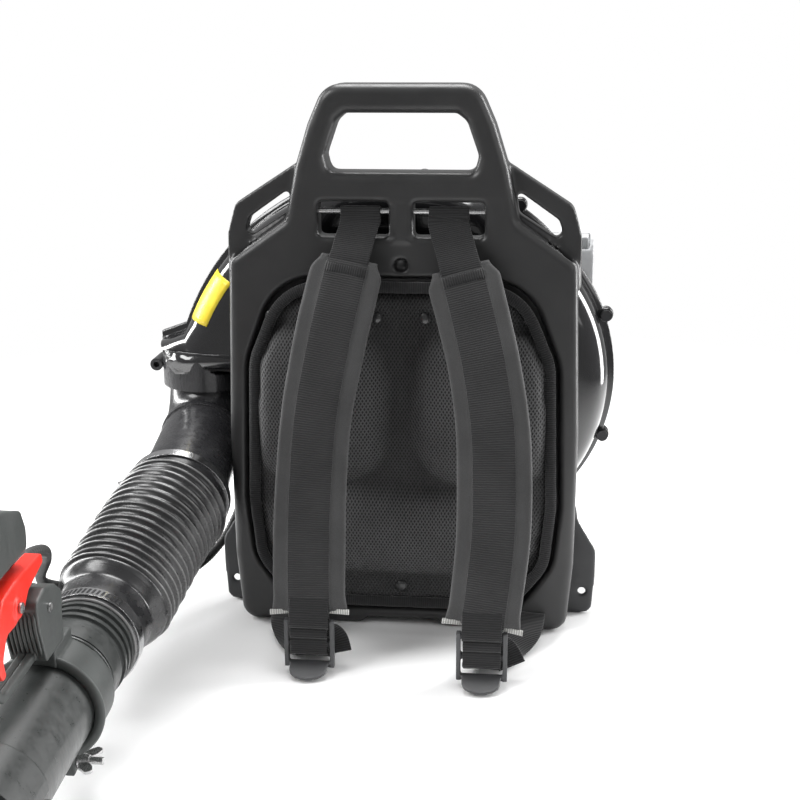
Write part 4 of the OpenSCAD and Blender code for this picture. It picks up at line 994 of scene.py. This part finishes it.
def make_back_pad():
    """The air-mesh pad: crowned lobes, puffed by cloth pressure, with a bound border."""
    outline = np.array([tuple(p) for p in recess_outline(-4)])
    step = 4.0
    xs = np.arange(-PAD_HALF_W - 6, PAD_HALF_W + 6.1, step)
    zs = np.arange(PAD_BOTTOM - 10, PAD_TOP + 6.1, step)
    index, verts = {}, []
    for i, x in enumerate(xs):
        for k, z in enumerate(zs):
            depth = inside_depth(outline, x, z)
            if depth > -0.7 * step:
                if depth < step * 0.5:
                    a = outline[np.argmin(((outline - (x, z)) ** 2).sum(1))]
                    x2, z2 = (x + a[0]) / 2, (z + a[1]) / 2
                else:
                    x2, z2 = x, z
                edge = ease(max(0.0, depth) / 14)
                index[i, k] = len(verts)
                verts.append(mm(x2, PAD_BASE - pad_height(x, z) * edge + 1.5 * (1 - edge), z2))
    faces = []
    for i, k in index:
        quad = [(i, k), (i + 1, k), (i + 1, k + 1), (i, k + 1)]
        if all(q in index for q in quad):
            faces.append(tuple(index[q] for q in quad))
    obj = build("back_pad_cloth", verts, faces)
    back = obj.modifiers.new("thickness", "SOLIDIFY")
    back.thickness = 0.006
    back.offset = -1 if obj.data.polygons[0].normal.y < 0 else 1
    apply_modifiers(obj)
    obj = puff(obj, 0.0045, 4.0, 0.005)
    finer = obj.modifiers.new("finer", "SUBSURF")
    finer.levels = finer.render_levels = 1
    apply_modifiers(obj)
    flatten_back(obj, -0.0902)
    place(obj, "mesh_pad", "root")
    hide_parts("back_pad")
    make_pad_border()


def flatten_back(obj, limit):
    """Keeps a pad in front of the wall that it lies on."""
    for vertex in obj.data.vertices:
        vertex.co.y = min(vertex.co.y, limit)


def puff(obj, voxel, pressure, cap):
    """Fills a pad by cloth pressure: remesh, 20 frames, and no point moves further than cap metres."""
    remesh = obj.modifiers.new("remesh", "REMESH")
    remesh.mode = "VOXEL"
    remesh.voxel_size = voxel
    remesh.use_smooth_shade = True
    apply_modifiers(obj)
    relax = obj.modifiers.new("relax", "SMOOTH")
    relax.iterations = 3
    apply_modifiers(obj)
    rest = np.array([v.co for v in obj.data.vertices])
    cloth_mod = obj.modifiers.new("cloth", "CLOTH")
    settings = cloth_mod.settings
    settings.quality = 5
    settings.mass = 0.25
    settings.use_pressure = True
    settings.uniform_pressure_force = pressure
    settings.tension_stiffness = 25
    settings.compression_stiffness = 25
    settings.bending_stiffness = 1.0
    settings.effector_weights.gravity = 0
    cloth_mod.collision_settings.use_collision = False
    scene = bpy.context.scene
    for number in range(1, 21):
        scene.frame_set(number)
    mesh = evaluated_mesh(obj)
    moved = np.array([v.co for v in mesh.vertices])
    bpy.data.meshes.remove(mesh)
    obj.modifiers.clear()
    scene.frame_set(1)
    shift = moved - rest
    far = np.linalg.norm(shift, axis=1, keepdims=True)
    shift *= np.minimum(1, cap / np.maximum(far, 1e-9))
    if not np.isfinite(shift).all():
        shift[:] = 0
    obj.data.vertices.foreach_set("co", (rest + shift).astype(np.float32).ravel())
    obj.data.update()
    return obj


def make_pad_border():
    """The bound edge round the pad, a flat folded tape with a soft crown."""
    outline = [mm(p.x, -104.2, p.y) for p in recess_outline(-8, 12)]
    path, along = resample(outline + [outline[0]], 0.003)
    path, along = path[:-1], along[:-1]
    n = len(path)
    rings, uv_rings = [], []
    for i, point in enumerate(path):
        t = (path[(i + 1) % n] - path[i - 1]).normalized()
        out = Vector((t.z, 0, -t.x))
        pull = 0.25 * math.sin(along[i] * 1000 / 5.1)
        section = [(-5.5, 1.5), (-5.2, -0.4), (-4, -1.7), (-1.5, -2.5 - pull * 0.4), (1.5, -2.4), (4, -1.2),
                   (5, 0.6), (5, 4), (0, 6), (-5, 4)]
        rings.append([point + out * ((a + pull * 0.3) * 0.001) + Vector((0, h * 0.001, 0))
                      for a, h in section])
        uv_rings.append([(a * 0.001, along[i]) for a, h in section])
    obj = skin("pad_binding", rings, uv_rings, loop=True)
    place(obj, "webbing", "root")


# ---------- bellows hose and conduit ----------

ELBOW_TURN = math.radians(75)
ELBOW_BEND, ELBOW_STRAIGHT, COLLAR_BOTTOM = 55, 98, 224
ELBOW_DIR = Vector((0, -math.sin(ELBOW_TURN), -math.cos(ELBOW_TURN)))
HOSE_START = Vector((
    OUTLET_X,
    -ELBOW_BEND * (1 - math.cos(ELBOW_TURN)) - ELBOW_STRAIGHT * math.sin(ELBOW_TURN),
    COLLAR_BOTTOM - ELBOW_BEND * math.sin(ELBOW_TURN) - ELBOW_STRAIGHT * math.cos(ELBOW_TURN)))
WAND_DIR = Vector((0, -math.cos(WAND_SLOPE), -math.sin(WAND_SLOPE)))
HOSE_END = Vector(RING_AT) - WAND_DIR * 99
CUFF = 18
RIDGES = 16


def tube(name, path, radius, sides=64, inner=None):
    """A round tube; radius and inner are functions of the distance from the start, in metres."""
    points, along = path
    rings_out, rings_in = [], []
    for i, (point, s) in enumerate(zip(points, along)):
        t = tangent(points, i)
        one = t.cross(Vector((0, 0, 1))).normalized()
        two = t.cross(one)
        ray = [one * math.cos(2 * math.pi * k / sides) + two * math.sin(2 * math.pi * k / sides)
               for k in range(sides)]
        rings_out.append([point + r * radius(s) for r in ray])
        if inner:
            rings_in.append([point + r * inner(s) for r in ray])
    if inner:
        return skin(name, rings_out + rings_in[::-1], loop=True)
    return skin(name, rings_out)


def hose_points():
    ends = [HOSE_START, HOSE_START + ELBOW_DIR * 20, HOSE_START + ELBOW_DIR * 70 + Vector((-8, 0, 0)),
            HOSE_END - WAND_DIR * 46 + Vector((2, 0, 3)), HOSE_END - WAND_DIR * 4, HOSE_END + WAND_DIR * CUFF]
    return [p * 0.001 for p in smooth(ends, 24)]


def make_bellows():
    """The corrugated hose in two pieces that meet in the middle."""
    points, along = resample(hose_points(), 0.0009)
    total = along[-1]
    first, last = 0.020, total * 0.70
    pitch = (last - first) / RIDGES

    def outer(s):
        if s < first - 0.003:
            return 0.0482
        if s < last:
            wave = abs(math.cos(math.pi * (s - first) / pitch)) ** 0.8
            crest = 0.0530 - 0.0045 * wave
            return 0.0482 + (crest - 0.0482) * ease((s - first + 0.003) / 0.006)
        cone = ease((s - last) / (total * 0.10))
        return 0.0500 * (1 - cone) + 0.0424 * cone

    def inner(s):
        return outer(s) - 0.0028

    middle = min(range(len(along)), key=lambda i: abs(along[i] - (first + pitch * 7)))
    upper = tube("bellows_upper", (points[:middle + 1], along[:middle + 1]), outer, inner=inner)
    lower = tube("bellows_lower", (points[middle:], along[middle:]), outer, inner=inner)
    place(upper, "hose_rubber")
    place(lower, "hose_rubber")
    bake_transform(upper)
    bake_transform(lower)
    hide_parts("bellows_hose")


CONDUIT_ROUTE = [(-244.5, -464, 197), (-244, -450, 199), (-243, -430, 199), (-246, -395, 188),
                 (-264, -345, 160), (-291, -290, 116), (-288, -215, 78), (-258, -150, 50), (-222, -95, 44),
                 (-200, -40, 52), (-184, 0, 84), (-172, 50, 140), (-136, 72, 200), (-76, 70, 250),
                 (-54, 68, 276), (-47, 70, 300), (-44, 80, 309), (-44, 97.2, 310)]
CONDUIT_R = 0.0045


def make_conduit():
    """The corrugated sleeve of the throttle cable, in two pieces that meet beside the hose."""
    points, along = resample(smooth([mm(*p) for p in CONDUIT_ROUTE], 20), 0.00105)

    def ridged(s):
        return CONDUIT_R - 0.0007 * (0.5 + 0.5 * math.cos(2 * math.pi * s / 0.0042))

    goal = mm(-288, -215, 78)
    middle = min(range(len(points)), key=lambda i: (points[i] - goal).length)
    front = tube("conduit_front", (points[:middle + 1], along[:middle + 1]), ridged, 16)
    rear = tube("conduit_rear", (points[middle:], along[middle:]), ridged, 16)
    place(front, "conduit_plastic")
    place(rear, "conduit_plastic")
    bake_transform(front)
    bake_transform(rear)
    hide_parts("throttle_conduit")


# ---------- clamps and wand details ----------


def clamp_slots(name, centre, axis, radius, width, arc, body):
    """The pressed worm slots of a hose clamp, as small raised bars round part of the band."""
    one = axis.cross(Vector((1, 0, 0))).normalized()
    two = axis.cross(one)
    parts = []
    count = 26
    for i in range(count):
        a = math.radians(arc[0] + (arc[1] - arc[0]) * i / count)
        out = one * math.cos(a) + two * math.sin(a)
        along = one * -math.sin(a) + two * math.cos(a)
        points = []
        for u, v, h in [(-1, -1, 0), (1, -1, 0), (1, 1, 0), (-1, 1, 0), (-0.7, -0.9, 1), (0.7, -0.9, 1),
                        (0.7, 0.9, 1), (-0.7, 0.9, 1)]:
            points.append(centre + out * (radius + 0.0004 * h) + along * (u * 0.0011 + v * 0.0005)
                          + axis * (v * width * 0.32))
        faces = [(0, 1, 2, 3), (4, 5, 6, 7), (0, 1, 5, 4), (1, 2, 6, 5), (2, 3, 7, 6), (3, 0, 4, 7)]
        parts.append(build("slot", points, faces, flat=True))
    obj = join(name, parts)
    obj.data.polygons.foreach_set("use_smooth", [False] * len(obj.data.polygons))
    place(obj, "black_screws", body)
    return obj


def grip_ribs():
    """Upright ribs down the front of the grip."""
    front = [(-36, 58), (-39.5, 70), (-42.5, 84), (-43.2, 97)]
    parts = []
    for i in range(8):
        x = -11.2 + 3.2 * i
        path = smooth([wand(x, y, z) for y, z in front], 6)
        points, along = resample(path, 0.0015)
        total = along[-1]

        def rib(s):
            return 0.0012 * (0.25 + 0.75 * ease(min(s, total - s) / 0.006))

        parts.append(tube("rib", (points, along), rib, 10))
    obj = join("grip_ribs", parts)
    place(obj, "grip_plastic", "wand")


def make_wand_details():
    axis = WAND_DIR.normalized()
    clamp_slots("lower_clamp_slots", wand(0, 92, 0), axis, 0.0438, 0.011, (-40, 95), "wand")
    grip_ribs()
    for name, y, r in (("pipe_bead_front", -147, 39.4), ("pipe_bead_rear", 27, 39.6)):
        profile = [(37.6, -2), (r, -1.4), (r + 0.6, 0), (r, 1.4), (37.6, 2)]
        ring = lathe_ring(name, profile, wand(0, y, 0), axis)
        place(ring, "pipe_plastic", "wand")
    ring = lathe_ring("saddle_rim", [(38.6, 0), (44.6, -0.6), (46.4, 0.8), (46.2, 2.6), (44, 4.2), (38.6, 3)],
                      wand(0, -15.5, 0), -axis)
    place(ring, "grip_plastic", "wand")


# ---------- carried-over parts ----------


def finish_cad_parts():
    """Gives every CAD part that still shows its own material."""
    for node, obj in NODES.items():
        obj.data.materials.clear()
        obj.data.materials.append(MATERIALS[SLOT_OF[node]])


# ---------- stage ----------


def area_light(name, at, target, size, power, size_y=None, colour=(1, 1, 1)):
    data = bpy.data.lights.new(name, "AREA")
    data.energy = power
    data.color = colour
    data.size = size
    if size_y:
        data.shape = "RECTANGLE"
        data.size_y = size_y
    obj = bpy.data.objects.new(name, data)
    bpy.context.scene.collection.objects.link(obj)
    obj.location = at
    obj.rotation_euler = (Vector(target) - Vector(at)).to_track_quat("-Z", "Y").to_euler()
    return obj


ROOM_LIGHT = 0.32


def make_stage():
    """A pale floor that fades into a white room, and large soft lights."""
    mesh = bpy.data.meshes.new("floor")
    mesh.from_pydata([(-3, -3, 0), (3, -3, 0), (3, 3, 0), (-3, 3, 0)], [], [(0, 1, 2, 3)])
    floor = new_object("floor", mesh)
    mat, tree, bsdf = shader("floor")
    paint = two_tone(tree, object_noise(tree, 3), "Fac", (0.93, 0.93, 0.93), (0.97, 0.97, 0.97))
    wire(tree, paint, "Color", bsdf, "Base Color")
    bsdf.inputs["Roughness"].default_value = 0.9
    away = add(tree, "ShaderNodeVectorMath", operation="LENGTH")
    wire(tree, add(tree, "ShaderNodeTexCoord"), "Object", away, 0)
    wire(tree, spread(tree, away, "Value", 1.0, 0.0, 0.55, 1.25), "Result", bsdf, "Alpha")
    floor.data.materials.append(mat)
    world = bpy.data.worlds.new("room")
    bpy.context.scene.world = world
    world.use_nodes = True
    tree = world.node_tree
    background = tree.nodes["Background"]
    background.inputs["Color"].default_value = (1, 1, 1, 1)
    seen = spread(tree, add(tree, "ShaderNodeLightPath"), "Is Camera Ray", ROOM_LIGHT, 1.0, 0, 1)
    wire(tree, seen, "Result", background, "Strength")
    area_light("key", (-1.7, -1.3, 1.9), (0, -0.1, 0.25), 1.0, 34)
    area_light("fill", (1.9, -1.5, 1.2), (0, -0.1, 0.2), 1.2, 7)
    area_light("top", (0.0, 0.45, 2.1), (0, 0, 0.3), 1.3, 58)
    area_light("right_strip", (1.3, 0.45, 0.6), (0.1, 0, 0.3), 0.35, 26, 1.5)
    area_light("left_strip", (-1.5, 0.35, 0.7), (-0.2, -0.1, 0.25), 0.35, 26, 1.5)
    bpy.context.scene.view_settings.view_transform = "Standard"
    bpy.context.scene.view_settings.look = "None"


# ---------- build ----------

make_bellows()
make_conduit()
finish_cad_parts()
make_moulded_parts()
case_half("volute_front_shell", "volute_front", -1, CASE_FRONT)
case_half("volute_rear_shell", "volute_rear", 1, CASE_REAR)
make_sticker()
make_back_pad()
make_harness()
lower_webbing("left", LEFT_BUCKLE, -112, -50)
lower_webbing("right", RIGHT_BUCKLE, 124, 112)
make_wand_details()
make_stage()

bpy.context.view_layer.update()
